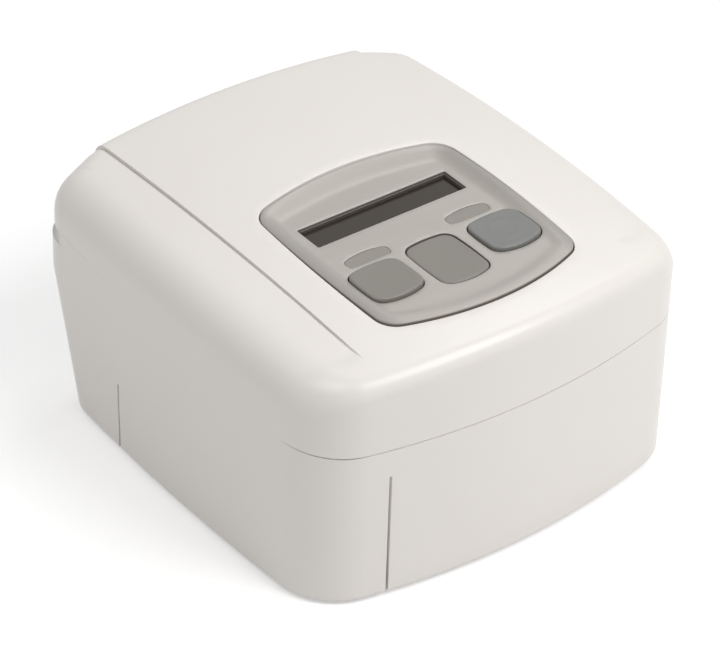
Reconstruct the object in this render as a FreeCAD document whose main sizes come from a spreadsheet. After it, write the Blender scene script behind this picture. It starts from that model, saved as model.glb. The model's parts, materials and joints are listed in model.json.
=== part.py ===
import FreeCAD, Part
import math
import os

import Sketcher
from FreeCAD import Placement, Rotation, Vector

# A bedside airway-pressure machine: a two-piece moulded case around a blower,
# its boards and its ports, with a dished keypad let into the crowned top.
# The pieces are laid out with x to the right seen from the front, y back from
# the middle of the front wall and z up from the underside of the case. Each
# finished piece is then placed so that the origin is on the surface that the
# feet stand on, under the middle of the case with its rear lip.

DIMENSIONS = {
    "case": {
        "base_width": (165.4, "width across the underside"),
        "base_depth": (164.0, "front to back along the underside"),
        "case_width": (166.0, "width above the leaning rear wall"),
        "case_depth": (176.3, "front to back above the leaning rear wall"),
        "front_bow": (12.8, "how far the front wall bows out"),
        "rear_bow": (4.7, "how far the rear wall bows out"),
        "side_bow": (3.7, "how far each side wall bows out"),
        "front_corner": (24.4, "corner radius in plan at the front"),
        "rear_corner": (14.4, "corner radius in plan at the rear"),
        "lean_height": (52.0, "height where the rear wall stops leaning"),
        "rear_lip": (1.6, "how far the lower half stands behind the upper one"),
        "wall": (2.5, "wall of both case halves"),
        "crown_height": (96.4, "highest point of the top"),
        "crown_depth": (125.0, "distance of the highest point from the front"),
        "crown_long_radius": (1168.0, "curve of the top from front to back"),
        "crown_cross_radius": (570.0, "curve of the top from side to side"),
        "panel_half": (56.0, "half width of the raised middle of the top"),
        "brow_half": (73.0, "half width of the brow, the raised strip at the front"),
        "brow_corner": (34.0, "corner radius of the brow in plan"),
        "brow_depth": (22.8, "depth of the raised strip at the front"),
        "shoulder_step": (0.46, "step down to the shoulders at the front"),
        "shoulder_slope": (0.005, "growth of that step towards the rear"),
        "side_round": (13.7, "rounding of the top edge"),
        "brow_round": (6.0, "rounding of the raised strip's front edge"),
        "panel_round": (7.2, "rounding of the raised middle's rear edge"),
        "parting_front": (59.2, "height of the parting line at the front"),
        "parting_rear": (71.5, "height of the parting line at the rear"),
        "seam_height": (0.6, "shadow gap at the front parting line"),
        "seam_inset": (0.9, "depth of that shadow gap"),
        "notch_height": (5.2, "finger notch under the rear parting line"),
        "notch_inset": (0.9, "depth of that notch"),
        "slit_width": (1.0, "width of the two slits up the wall"),
        "front_slit_x": (-54.1, "place of the front slit"),
        "front_slit_height": (48.6, "height of the front slit"),
        "front_slit_depth": (7.0, "how far back the front slit reaches"),
        "side_slit_y": (123.0, "place of the left slit"),
        "side_slit_height": (27.6, "height of the left slit"),
        "side_slit_x": (-81.3, "how far in the left slit reaches"),
    },
    "feet_and_screws": {
        "foot_height": (2.0, "gap under the case"),
        "foot_radius": (7.0, "radius of a foot"),
        "foot_recess": (0.8, "depth of a foot's recess"),
        "foot_x": (60.0, "feet to each side"),
        "foot_front": (32.0, "front feet"),
        "foot_rear": (140.0, "rear feet"),
        "boss_x": (70.0, "case screws to each side"),
        "boss_front": (44.0, "front case screws"),
        "boss_rear": (138.0, "rear case screws"),
        "boss_radius": (4.5, "radius of a screw boss"),
        "boss_split": (20.0, "height where the bosses meet"),
        "screw_radius": (1.5, "case screw shank radius"),
        "screw_length": (26.0, "case screw shank length"),
        "screw_head_radius": (3.0, "case screw head radius"),
        "screw_head_height": (2.2, "case screw head height"),
        "counterbore": (1.2, "height of the screw heads above the underside"),
        "screw_gap": (0.3, "clearance around a screw"),
    },
    "keypad": {
        "plate_front": (17.6, "front edge of the keypad plate"),
        "plate_width": (85.0, "width of the keypad plate"),
        "plate_depth": (88.3, "depth of the keypad plate"),
        "plate_front_bow": (9.8, "bow of the plate's front edge"),
        "plate_rear_bow": (6.3, "bow of the plate's rear edge"),
        "plate_side_bow": (2.2, "bow of the plate's side edges"),
        "plate_corner": (9.0, "corner radius of the plate"),
        "plate_gap": (0.35, "gap around the plate"),
        "plate_rise": (0.9, "how far the plate stands proud at the front"),
        "plate_tip": (0.0165, "how fast it sinks towards the rear"),
        "ledge_height": (88.0, "ledge that the plate rests on"),
        "ledge_width": (3.5, "width of that ledge"),
        "ledge_thick": (2.0, "thickness of that ledge"),
        "dish_inset": (7.0, "band around the sunk middle of the plate"),
        "dish_height": (91.9, "height of the sunk middle at the display"),
        "dish_tilt": (1.0, "tilt of the sunk middle, in degrees"),
        "dish_rise": (8.0, "height over which the band slopes"),
        "dish_spread": (17.1, "width over which the band slopes"),
        "window_y": (81.5, "middle of the display window"),
        "window_width": (64.1, "width of the display window"),
        "window_depth": (12.3, "depth of the display window"),
        "window_gap": (0.15, "fit of the display lens"),
        "window_sink": (0.7, "how far the lens lies below the plate"),
        "lens_flange": (1.6, "rim under the plate that holds the lens"),
        "lens_flange_thick": (0.9, "thickness of that rim"),
        "key_gap": (0.35, "gap around a key"),
        "key_rise": (1.3, "how far the outer keys stand up"),
        "key_sink": (0.1, "how far the middle key lies below the plate"),
        "key_travel": (0.9, "travel of a key"),
        "key_flange": (1.2, "rim that keeps a key in"),
        "key_flange_thick": (1.0, "thickness of that rim"),
        "key_flange_drop": (0.1, "gap over that rim"),
        "key_corner": (4.6, "corner radius of a key"),
        "key_edge": (0.7, "rounding of a key's top edge"),
        "mat_front": (35.6, "front edge of the keypad mat"),
        "mat_rear": (67.5, "rear edge of the keypad mat"),
        "mat_half": (37.0, "half width of the keypad mat"),
        "mat_thick": (1.2, "thickness of the keypad mat"),
        "dome_radius": (4.0, "radius of a dome on the mat"),
        "dome_gap": (0.1, "gap under a pressed key"),
        "display_thick": (6.0, "thickness of the display module"),
        "display_rim": (3.5, "rim of the display module"),
        "display_gap": (0.1, "gap over the display module"),
        "control_height": (78.6, "underside of the control board"),
        "control_width": (82.0, "width of the control board"),
        "control_depth": (70.5, "depth of the control board"),
        "control_front": (28.5, "front edge of the control board"),
        "hanger_x": (37.5, "control board posts to each side"),
        "hanger_front": (32.0, "front control board posts"),
        "hanger_rear": (95.0, "rear control board posts"),
        "hanger_radius": (2.4, "radius of a control board post"),
    },
    "boards": {
        "board_thick": (1.6, "thickness of a circuit board"),
        "pilot_radius": (1.1, "small screw shank radius"),
        "pilot_length": (6.0, "depth of a small screw's hole"),
        "pilot_head_radius": (2.2, "small screw head radius"),
        "pilot_head_height": (1.4, "small screw head height"),
        "main_height": (52.0, "underside of the main board"),
        "main_width": (128.0, "width of the main board"),
        "main_front": (19.0, "front edge of the main board"),
        "main_depth": (85.0, "depth of the main board"),
        "main_post_x": (59.5, "main board posts to each side"),
        "main_post_front": (24.0, "front main board posts"),
        "main_post_rear": (98.0, "rear main board posts"),
        "post_radius": (2.8, "radius of a board post"),
        "power_height": (8.0, "underside of the power board"),
        "power_x": (41.5, "middle of the power board"),
        "power_width": (28.0, "width of the power board"),
        "power_front": (30.0, "front edge of the power board"),
        "power_depth": (98.0, "depth of the power board"),
    },
    "blower": {
        "blower_x": (-15.0, "axis of the blower"),
        "blower_y": (78.0, "axis of the blower"),
        "blower_base": (12.0, "underside of the blower"),
        "blower_split": (30.0, "height where the blower halves meet"),
        "blower_top": (48.0, "top of the blower"),
        "blower_radius": (38.0, "outside radius of the blower"),
        "blower_wall": (2.5, "wall of the blower"),
        "blower_floor": (4.0, "floor of the blower"),
        "duct_x": (14.0, "middle of the blower's outlet"),
        "duct_width": (24.0, "width and height of the outlet duct"),
        "duct_end": (110.0, "end of the square duct"),
        "spigot_end": (122.0, "end of the round spigot"),
        "spigot_radius": (10.5, "outside radius of the spigots"),
        "spigot_bore": (8.5, "inside radius of the spigots"),
        "hose_start": (113.0, "start of the inner hose"),
        "hose_end": (147.5, "end of the inner hose"),
        "hose_radius": (12.8, "outside radius of the inner hose"),
        "hose_gap": (0.1, "fit of the hose on the spigots"),
        "intake_radius": (14.0, "hole in the blower's top"),
        "shaft_radius": (1.5, "motor shaft radius"),
        "shaft_low": (12.6, "foot of the motor shaft"),
        "shaft_high": (41.5, "head of the motor shaft"),
        "bearing_radius": (4.0, "outside radius of a bearing"),
        "bearing_thick": (3.0, "thickness of a bearing"),
        "bearing_gap": (0.04, "running clearance of the shaft"),
        "stator_radius": (20.0, "outside radius of the stator"),
        "stator_bore": (12.2, "inside radius of the stator"),
        "stator_low": (16.0, "underside of the stator"),
        "stator_high": (27.0, "top of the stator"),
        "coil_count": (9.0, "number of coils"),
        "magnet_radius": (11.7, "radius of the rotor magnet"),
        "magnet_low": (16.8, "underside of the rotor magnet"),
        "magnet_high": (26.2, "top of the rotor magnet"),
        "plate_low": (28.4, "underside of the motor plate"),
        "impeller_low": (32.6, "underside of the impeller"),
        "impeller_high": (41.0, "top of the impeller"),
        "impeller_radius": (31.0, "radius of the impeller"),
        "impeller_disc": (1.2, "thickness of the impeller's disc"),
        "hub_radius": (6.0, "radius of the impeller's hub"),
        "blade_count": (11.0, "number of blades"),
        "blade_thick": (1.2, "thickness of a blade"),
        "bush_radius": (5.0, "radius of a blower mount"),
        "bush_ring": (29.0, "circle that the blower mounts stand on"),
    },
    "rear": {
        "bay_left": (-60.0, "left edge of the rear recess"),
        "bay_right": (62.0, "right edge of the rear recess"),
        "bay_low": (7.0, "lower edge of the rear recess"),
        "bay_high": (54.0, "upper edge of the rear recess"),
        "bay_floor": (157.5, "bottom of the rear recess"),
        "bay_rim": (3.0, "rim that the port plate sits behind"),
        "port_plate": (2.5, "thickness of the port plate and of the rim"),
        "port_plate_gap": (0.2, "clearance around the port plate"),
        "outlet_z": (30.0, "height of the air outlet"),
        "outlet_radius": (11.0, "outside radius of the air outlet"),
        "outlet_bore": (8.8, "inside radius of the air outlet"),
        "outlet_end": (173.0, "end of the air outlet"),
        "outlet_flange": (14.0, "radius of the outlet's flange"),
        "outlet_flange_thick": (2.5, "thickness of that flange"),
        "outlet_start": (141.5, "inner end of the outlet"),
        "outlet_bead": (0.6, "chamfer at the outlet's end"),
        "outlet_collar": (12.2, "radius of the outlet's collar in the port plate"),
        "filter_x": (-34.0, "middle of the filter"),
        "filter_z": (30.5, "middle of the filter"),
        "filter_width": (42.0, "width of the filter opening"),
        "filter_height": (34.0, "height of the filter opening"),
        "filter_thick": (8.0, "thickness of the filter foam"),
        "filter_gap": (0.5, "clearance around the filter foam"),
        "cover_margin": (1.6, "how far the filter cover laps the plate"),
        "cover_thick": (2.6, "thickness of the filter cover"),
        "cover_gap": (0.15, "gap behind the filter cover"),
        "slot_height": (3.0, "height of a filter slot"),
        "slot_pitch": (5.4, "spacing of the filter slots"),
        "slot_margin": (4.0, "plain edge beside the slots"),
        "slot_count": (6.0, "number of filter slots"),
        "tab_width": (14.0, "width of the pull tab"),
        "tab_reach": (3.2, "reach of the pull tab"),
        "tab_thick": (1.6, "thickness of the pull tab"),
        "mains_x": (45.5, "middle of the mains inlet"),
        "mains_z": (20.0, "height of the mains inlet"),
        "mains_width": (24.0, "width of the mains inlet"),
        "mains_height": (14.0, "height of the mains inlet"),
        "mains_depth": (15.0, "depth of the mains inlet"),
        "mains_socket_radius": (4.4, "end radius of the mains socket"),
        "mains_pin_half": (4.3, "half the spacing of the mains pins"),
        "mains_socket_depth": (11.0, "depth of the mains socket"),
        "mains_pin_radius": (1.2, "radius of a mains pin"),
        "mains_pin_length": (9.0, "length of a mains pin in the socket"),
        "jack_x": (34.0, "middle of the direct-current jack"),
        "jack_z": (42.0, "height of the direct-current jack"),
        "jack_radius": (5.2, "outside radius of the jack"),
        "jack_bore": (2.85, "inside radius of the jack"),
        "jack_pin": (1.0, "radius of the jack's pin"),
        "jack_depth": (13.0, "depth of the jack"),
        "data_x": (48.2, "middle of the data socket"),
        "data_z": (42.0, "height of the data socket"),
        "data_width": (12.0, "width of the data socket's mouth"),
        "data_height": (7.0, "height of the data socket's mouth"),
        "data_wall": (1.5, "wall of the data socket"),
        "data_depth": (13.0, "depth of the data socket"),
        "data_bore": (10.0, "depth of the data socket's mouth"),
        "cap_thick": (1.6, "thickness of the data cap"),
        "cap_lap": (2.0, "how far the cap laps the socket"),
        "cap_gap": (0.2, "gap behind the data cap"),
        "cap_pin_radius": (0.9, "radius of the cap's hinge pin"),
        "cap_pin_gap": (0.05, "running clearance of that pin"),
        "knuckle_radius": (1.7, "radius of a hinge knuckle"),
        "knuckle_height": (2.0, "height of a hinge knuckle"),
    },
    "intake": {
        "muffler_left": (-61.0, "left side of the muffler"),
        "muffler_right": (-9.0, "right side of the muffler"),
        "muffler_front": (121.0, "front of the muffler"),
        "muffler_rear": (145.5, "rear of the muffler"),
        "muffler_low": (5.0, "underside of the muffler"),
        "muffler_high": (49.0, "top of the muffler"),
        "muffler_wall": (1.6, "wall of the muffler"),
        "muffler_hole": (9.0, "radius of the hole towards the blower"),
        "foam_gap": (0.4, "clearance around the muffler foam"),
    },
}


class Size:
    """A length known both as a spreadsheet expression and as a number."""

    def __init__(self, text, value):
        self.text = text
        self.value = value

    def _join(self, sign, other, value):
        return Size(f"({self.text} {sign} {other.text})", value)

    def __add__(self, other):
        other = size(other)
        return self._join("+", other, self.value + other.value)

    def __sub__(self, other):
        other = size(other)
        return self._join("-", other, self.value - other.value)

    def __mul__(self, other):
        other = size(other)
        return self._join("*", other, self.value * other.value)

    def __truediv__(self, other):
        other = size(other)
        return self._join("/", other, self.value / other.value)

    def __neg__(self):
        return Size(f"(0 - {self.text})", -self.value)

    __radd__ = __add__

    def __rsub__(self, other):
        return size(other) - self

    def __float__(self):
        return float(self.value)


def size(thing):
    """A Size, whether the thing is one already or a plain number."""
    return thing if isinstance(thing, Size) else Size(repr(float(thing)), float(thing))


class Sheet:
    """The driving dimensions: a spreadsheet whose cells are read by name."""

    def __init__(self, document, table):
        self.cells = document.addObject("Spreadsheet::Sheet", "dims")
        row = 1
        for group, entries in table.items():
            self.cells.set(f"A{row}", group)
            row += 1
            for alias, (number, note) in entries.items():
                self.cells.set(f"A{row}", note)
                self.cells.set(f"B{row}", str(number))
                self.cells.setAlias(f"B{row}", alias)
                row += 1
        document.recompute()

    def __getattr__(self, alias):
        return Size(f"dims.{alias}", float(self.cells.get(alias)))


document = FreeCAD.newDocument("airway_machine")
d = Sheet(document, DIMENSIONS)
parts = {}

# ---------------------------------------------------------------- building blocks

ABOUT = {
    "x": Rotation(Vector(0, 1, 0), 90),
    "y": Rotation(Vector(1, 0, 0), -90),
    "z": Rotation(),
}


def bind(thing, prop, length):
    """Ties a property to its dimensions."""
    thing.setExpression(prop, size(length).text)


def place(thing, at, rotation=Rotation()):
    """Turns a piece, then ties its position to the dimensions."""
    thing.Placement = Placement(Vector(), rotation)
    for axis, length in zip("xyz", at):
        bind(thing, f".Placement.Base.{axis}", length)
    return thing


def finish(node, thing, at=(0, 0, 0)):
    """Names a finished piece and moves it from the layout to the part's own frame."""
    x, y, z = (size(length) for length in at)
    thing.Label = node
    place(thing, (x, y - (d.case_depth + d.rear_lip) / 2, z + d.foot_height))
    parts[node] = thing
    return thing


def box(name, low, high):
    """A box between two corners."""
    thing = document.addObject("Part::Box", name)
    for prop, start, end in zip(("Length", "Width", "Height"), low, high):
        bind(thing, prop, size(end) - start)
    place(thing, low)
    return thing


def centred_box(name, middle, spans):
    """A box around a point."""
    low = [size(m) - size(s) / 2 for m, s in zip(middle, spans)]
    high = [size(m) + size(s) / 2 for m, s in zip(middle, spans)]
    return box(name, low, high)


def rod(name, at, radius, length, axis="z"):
    """A cylinder that starts at a point and runs along an axis."""
    thing = document.addObject("Part::Cylinder", name)
    bind(thing, "Radius", radius)
    bind(thing, "Height", length)
    place(thing, at, ABOUT[axis])
    return thing


def fuse(name, *pieces):
    """Several pieces as one."""
    thing = document.addObject("Part::MultiFuse", name)
    thing.Shapes = list(pieces)
    return thing


def common(name, *pieces):
    """What several pieces share."""
    thing = document.addObject("Part::MultiCommon", name)
    thing.Shapes = list(pieces)
    return thing


def cut(name, base, *tools):
    """A piece with others taken out of it."""
    thing = document.addObject("Part::Cut", name)
    thing.Base = base
    thing.Tool = tools[0] if len(tools) == 1 else fuse(f"{name}_tools", *tools)
    return thing


def group(name, *pieces):
    """Separate solids kept in one node."""
    thing = document.addObject("Part::Compound", name)
    thing.Links = list(pieces)
    return thing


def shaped(name, shape):
    """A piece whose surface no feature makes, worked out from the sheet."""
    thing = document.addObject("Part::Feature", name)
    thing.Shape = shape
    return thing


def origin_plane(body, role):
    """One of a body's own planes."""
    return next(f for f in body.Origin.OriginFeatures if f.Role == role)


def sketch_on(body, name, role, lift=0):
    """An empty sketch on one of a body's own planes, lifted off it if asked."""
    sketch = body.newObject("Sketcher::SketchObject", name)
    sketch.AttachmentSupport = [(origin_plane(body, role), "")]
    sketch.MapMode = "FlatFace"
    bind(sketch, ".AttachmentOffset.Base.z", lift)
    return sketch


def draw_polygon(sketch, points):
    """A closed outline whose corners are each tied to the dimensions."""
    corners = [(size(u), size(v)) for u, v in points]
    spots = [Vector(u.value, v.value, 0) for u, v in corners]
    first = sketch.GeometryCount
    for i, spot in enumerate(spots):
        sketch.addGeometry(Part.LineSegment(spot, spots[(i + 1) % len(spots)]), False)
    for i in range(len(spots)):
        following = first + (i + 1) % len(spots)
        sketch.addConstraint(Sketcher.Constraint("Coincident", first + i, 2, following, 1))
    for i, (u, v) in enumerate(corners):
        tie_point(sketch, first + i, 1, u, v)


def tie_point(sketch, edge, end, u, v):
    """Ties one point of a sketch to two dimensions from the sketch's origin."""
    for kind, length in (("DistanceX", u), ("DistanceY", v)):
        if "dims" not in length.text and length.value == 0:
            axis = -2 if kind == "DistanceX" else -1
            sketch.addConstraint(Sketcher.Constraint("PointOnObject", edge, end, axis))
            continue
        index = sketch.addConstraint(
            Sketcher.Constraint(kind, -1, 1, edge, end, length.value))
        bind(sketch, f"Constraints[{index}]", length)


def draw_circle(sketch, u, v, radius):
    """A circle whose middle and radius are tied to the dimensions."""
    u, v, radius = size(u), size(v), size(radius)
    edge = sketch.addGeometry(
        Part.Circle(Vector(u.value, v.value, 0), Vector(0, 0, 1), radius.value), False)
    tie_point(sketch, edge, 3, u, v)
    index = sketch.addConstraint(Sketcher.Constraint("Radius", edge, radius.value))
    bind(sketch, f"Constraints[{index}]", radius)


def draw_rectangle(sketch, left, low, right, high):
    """A rectangle between two corners."""
    draw_polygon(sketch, [(left, low), (right, low), (right, high), (left, high)])


def pad(body, sketch, length, reverse=False):
    """Adds material on a sketch."""
    feature = body.newObject("PartDesign::Pad", f"{sketch.Name}_pad")
    feature.Profile = sketch
    bind(feature, "Length", length)
    feature.Reversed = reverse
    return feature


def pocket(body, sketch, length, reverse=False):
    """Takes material away under a sketch, and makes sure that it did."""
    before = body_volume(body)
    feature = body.newObject("PartDesign::Pocket", f"{sketch.Name}_pocket")
    feature.Profile = sketch
    bind(feature, "Length", length)
    feature.Reversed = reverse
    if body_volume(body) >= before:
        raise RuntimeError(f"{feature.Name} takes nothing away")
    return feature


def body_volume(body):
    """The volume of a body as it stands."""
    document.recompute()
    return body.Shape.Volume


def revolve(body, sketch):
    """Turns a half profile once around the upright axis of its sketch."""
    feature = body.newObject("PartDesign::Revolution", f"{sketch.Name}_turn")
    feature.Profile = sketch
    feature.ReferenceAxis = (sketch, ["V_Axis"])
    feature.Angle = 360
    return feature


def turned(name, profile):
    """A body turned about z from a half profile of (radius, height) corners."""
    body = document.addObject("PartDesign::Body", name)
    sketch = sketch_on(body, f"{name}_profile", "XZ_Plane")
    draw_polygon(sketch, profile)
    revolve(body, sketch)
    return body


def polar(body, feature, count):
    """Repeats a feature around z."""
    pattern = body.newObject("PartDesign::PolarPattern", f"{feature.Name}_ring")
    pattern.Originals = [feature]
    pattern.Axis = (origin_axis(body, "Z_Axis"), [""])
    pattern.Angle = 360
    bind(pattern, "Occurrences", count)
    body.Tip = pattern
    return pattern


def origin_axis(body, role):
    """One of a body's own axes."""
    return next(f for f in body.Origin.OriginFeatures if f.Role == role)


def moved(name, body, at, rotation=Rotation()):
    """A copy of a piece at another place, kept linked to the first."""
    copy = document.addObject("Part::Compound", name)
    copy.Links = [body]
    place(copy, at, rotation)
    return copy


# ---------------------------------------------------------------- bowed outlines


def bow_radius(bow, chord):
    """The radius of an arc that bows out by so much over a chord."""
    return (bow * bow + (chord / 2) ** 2) / (2 * bow)


def meeting(first, first_radius, second, second_radius, side):
    """Where two circles meet, on the asked side of the line between them."""
    gap = second - first
    along = (first_radius**2 - second_radius**2 + gap.Length**2) / (2 * gap.Length)
    off = math.sqrt(first_radius**2 - along**2)
    foot = first + gap * (along / gap.Length)
    return foot + Vector(-gap.y, gap.x, 0) * (side * off / gap.Length)


def toward(start, target, radius):
    """The point of a circle in the direction of a target."""
    step = target - start
    return start + step * (radius / step.Length)


def arc(centre, start, end):
    """The short arc between two points about a centre."""
    middle = toward(centre, (start + end) * 0.5, (start - centre).Length)
    return Part.Arc(start, middle, end).toShape()


class Outline:
    """Four bowed sides joined by four corner arcs, symmetric about x = 0."""

    def __init__(self, width, depth, bows, corners, front=0.0):
        front_bow, rear_bow, side_bow = (float(bow) for bow in bows)
        self.corners = [float(corner) for corner in corners]
        width, depth = float(width), float(depth)
        self.radii = [
            bow_radius(front_bow, width),
            bow_radius(side_bow, depth),
            bow_radius(rear_bow, width),
        ]
        front = float(front)
        self.front = Vector(0, front + self.radii[0], 0)
        self.side = Vector(width / 2 - self.radii[1], front + depth / 2, 0)
        self.rear = Vector(0, front + depth - self.radii[2], 0)

    def corner_centres(self):
        """The centres of the right front and right rear corners."""
        fore, flank, aft = self.radii
        near, far = self.corners
        return (
            meeting(self.front, fore - near, self.side, flank - near, 1),
            meeting(self.side, flank - far, self.rear, aft - far, 1),
        )

    def wire(self, inset=0.0, height=0.0):
        """The outline, drawn parallel inside itself by the inset."""
        fore, flank, aft = (radius - inset for radius in self.radii)
        near, far = self.corner_centres()
        a = toward(self.front, near, fore)
        b = toward(self.side, near, flank)
        c = toward(self.side, far, flank)
        e = toward(self.rear, far, aft)
        right = [arc(near, a, b), arc(self.side, b, c), arc(far, c, e)]
        left = [
            arc(flipped(far), flipped(e), flipped(c)),
            arc(flipped(self.side), flipped(c), flipped(b)),
            arc(flipped(near), flipped(b), flipped(a)),
        ]
        nose = arc(self.front, flipped(a), a)
        tail = arc(self.rear, e, flipped(e))
        wire = Part.Wire([nose, *right, tail, *left])
        wire.translate(Vector(0, 0, height))
        return wire

    def prism(self, low, high, inset=0.0):
        """The outline pulled up between two heights."""
        face = Part.Face(self.wire(inset, float(low)))
        return face.extrude(Vector(0, 0, float(high) - float(low)))


def flipped(point):
    """The mirror image of a point about x = 0."""
    return Vector(-point.x, point.y, point.z)


def pillow(name, outline, low, high, inset=0.0):
    """A bowed prism as a piece of the document."""
    return shaped(name, outline.prism(low, high, inset))


# ---------------------------------------------------------------- the case

ABOVE = 30.0  # how far cutting blocks reach past the piece they cut
TOUCH = 0.01  # how near an edge must lie to a wall to count as on it


def case_outline():
    """The case in plan, above the leaning rear wall."""
    bows = (d.front_bow, d.rear_bow, d.side_bow)
    return Outline(d.case_width, d.case_depth, bows, (d.front_corner, d.rear_corner))


def base_outline():
    """The case in plan at its underside."""
    bows = (d.front_bow, d.rear_bow, d.side_bow)
    return Outline(d.base_width, d.base_depth, bows, (d.front_corner, d.rear_corner))


def lip_outline():
    """The lower half in plan where it meets the parting line."""
    bows = (d.front_bow, d.rear_bow, d.side_bow)
    corners = (d.front_corner, d.rear_corner)
    return Outline(d.case_width, d.case_depth + d.rear_lip, bows, corners)


def lower_form():
    """The lower half's outside, with the rear wall that leans out to its lip."""
    lean = float(d.lean_height)
    foot = Part.makeLoft([base_outline().wire(), lip_outline().wire(0.0, lean)], True, True)
    return foot.fuse(lip_outline().prism(lean, d.parting_rear + 1))


def crown_block(apex_y, apex_z, inset=0.0):
    """Everything above a surface that curves both ways from its highest point."""
    long_radius, cross_radius = float(d.crown_long_radius), float(d.crown_cross_radius)
    half_turn = 60
    ring = Part.makeTorus(long_radius - cross_radius, cross_radius - inset,
                          Vector(), Vector(0, 0, 1), -half_turn, half_turn, 360)
    ring.rotate(Vector(), Vector(0, 1, 0), 90)
    ring.translate(Vector(0, apex_y, apex_z - long_radius))
    wide, deep = float(d.base_width) + 2 * ABOVE, float(d.case_depth) + 2 * ABOVE
    block = Part.makeBox(wide, deep, 2 * ABOVE, Vector(-wide / 2, -ABOVE, apex_z - ABOVE))
    return block.cut(ring)


def tipped_crown(drop, slope, from_y, inset=0.0):
    """The same surface lowered by a drop that grows from one place towards the rear."""
    long_radius, apex_y = float(d.crown_long_radius), float(d.crown_depth)
    apex_z = float(d.crown_height) - drop - slope * (apex_y - from_y)
    apex_z += slope * slope * long_radius / 2
    return crown_block(apex_y - slope * long_radius, apex_z, inset)


def case_form(inset=0.0):
    """The case without its raised middle, drawn inside itself by the inset."""
    upper, lower = case_outline(), base_outline()
    lean = float(d.lean_height)
    foot = Part.makeLoft([lower.wire(inset), upper.wire(inset, lean)], True, True)
    head = upper.prism(lean, float(d.crown_height) + TOUCH, inset)
    step, slope = float(d.shoulder_step), float(d.shoulder_slope)
    head = head.cut(tipped_crown(step, slope, float(d.brow_depth), inset))
    rim = [edge for edge in head.Edges if edge.BoundBox.ZMin > lean + ABOVE / 2]
    head = head.makeFillet(float(d.side_round) - inset, rim)
    return foot.fuse(head)


def raised_form():
    """The raised middle of the top, with the brow that joins it along the front."""
    walls = case_outline().prism(d.lean_height, d.crown_height)
    middle = slab(float(d.panel_half), -1, float(d.case_depth) + 2)
    brow = brow_outline().prism(d.lean_height, d.crown_height + 1)
    brow = brow.common(slab(float(d.case_width), -1, float(d.brow_depth)))
    panel = walls.common(middle).common(slab(float(d.case_width), float(d.brow_depth) / 2,
                                             float(d.case_depth) + 2))
    form = panel.fuse(brow).removeSplitter()
    form = form.cut(crown_block(float(d.crown_depth), float(d.crown_height)))
    front = wall_rim(form, outer_faces(brow), lambda y: y < float(d.brow_depth) - 1)
    form = form.makeFillet(float(d.brow_round), front)
    rear = wall_rim(form, outer_faces(walls), lambda y: y > float(d.crown_depth))
    return form.makeFillet(float(d.panel_round), rear)


def brow_outline():
    """The brow in plan: the front wall's own bow, then corners that turn in early."""
    half, wall_radius = float(d.brow_half), bow_radius(float(d.front_bow), float(d.case_width))
    bow = wall_radius - math.sqrt(wall_radius ** 2 - half ** 2)
    rear_bow = side_bow = bow / 10
    corners = (d.brow_corner, d.brow_corner / 4)
    return Outline(2 * half, d.case_depth / 2, (bow, rear_bow, side_bow), corners)


def outer_faces(solid):
    """The upright faces of a solid."""
    return Part.Compound([face for face in solid.Faces if abs(face.normalAt(0, 0).z) < TOUCH])


def slab(half, near, far):
    """A block of the upper case between two depths."""
    low = float(d.lean_height)
    return Part.makeBox(2 * half, far - near, 2 * ABOVE, Vector(-half, near, low))


def wall_rim(form, outside, within):
    """The top edges of a form that lie on the outer wall at the asked depths."""
    found = []
    for edge in form.Edges:
        middle = edge.valueAt((edge.FirstParameter + edge.LastParameter) / 2)
        upright = edge.BoundBox.XLength + edge.BoundBox.YLength < TOUCH
        low = edge.BoundBox.ZMax < float(d.lean_height) + 1
        if upright or low or not within(middle.y):
            continue
        if Part.Vertex(middle).distToShape(outside)[0] < TOUCH:
            found.append(edge)
    return found


def above_parting(name, lower_by=0.0):
    """Everything above the sloping parting line, or a little below it."""
    front, rear = float(d.parting_front) - lower_by, float(d.parting_rear) - lower_by
    depth = float(d.case_depth)
    rise = (rear - front) / depth
    near, far, top = -ABOVE, depth + ABOVE, float(d.crown_height) + ABOVE
    wide = float(d.base_width) + 2 * ABOVE
    corners = [(near, front + rise * near), (far, front + rise * far), (far, top), (near, top)]
    points = [Vector(-wide / 2, y, z) for y, z in corners]
    face = Part.Face(Part.makePolygon([*points, points[0]]))
    return shaped(name, face.extrude(Vector(wide, 0, 0)))


def edge_groove(name, height, shift, near, far):
    """A groove just under the parting line that fades out around the corners."""
    band = cut(f"{name}_band", above_parting(f"{name}_low", float(height)),
               above_parting(f"{name}_high"))
    reach = box(f"{name}_reach", (-d.base_width, near, 0), (d.base_width, far, d.crown_height))
    kept = shaped(f"{name}_kept", case_outline().prism(0, d.crown_height))
    place(kept, (0, shift, 0))
    return cut(f"{name}_groove", common(f"{name}_ring", band, reach), kept)


def at_corners(x, front, rear):
    """Four places, one towards each corner of the case."""
    return [(side * size(x), y) for side in (Size("1", 1), Size("-1", -1)) for y in (front, rear)]


def case_corners():
    """The places of the case screws."""
    return at_corners(d.boss_x, d.boss_front, d.boss_rear)


def plate_outline():
    """The keypad plate in plan."""
    bows = (d.plate_front_bow, d.plate_rear_bow, d.plate_side_bow)
    corners = (d.plate_corner, d.plate_corner)
    return Outline(d.plate_width, d.plate_depth, bows, corners, d.plate_front)


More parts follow.
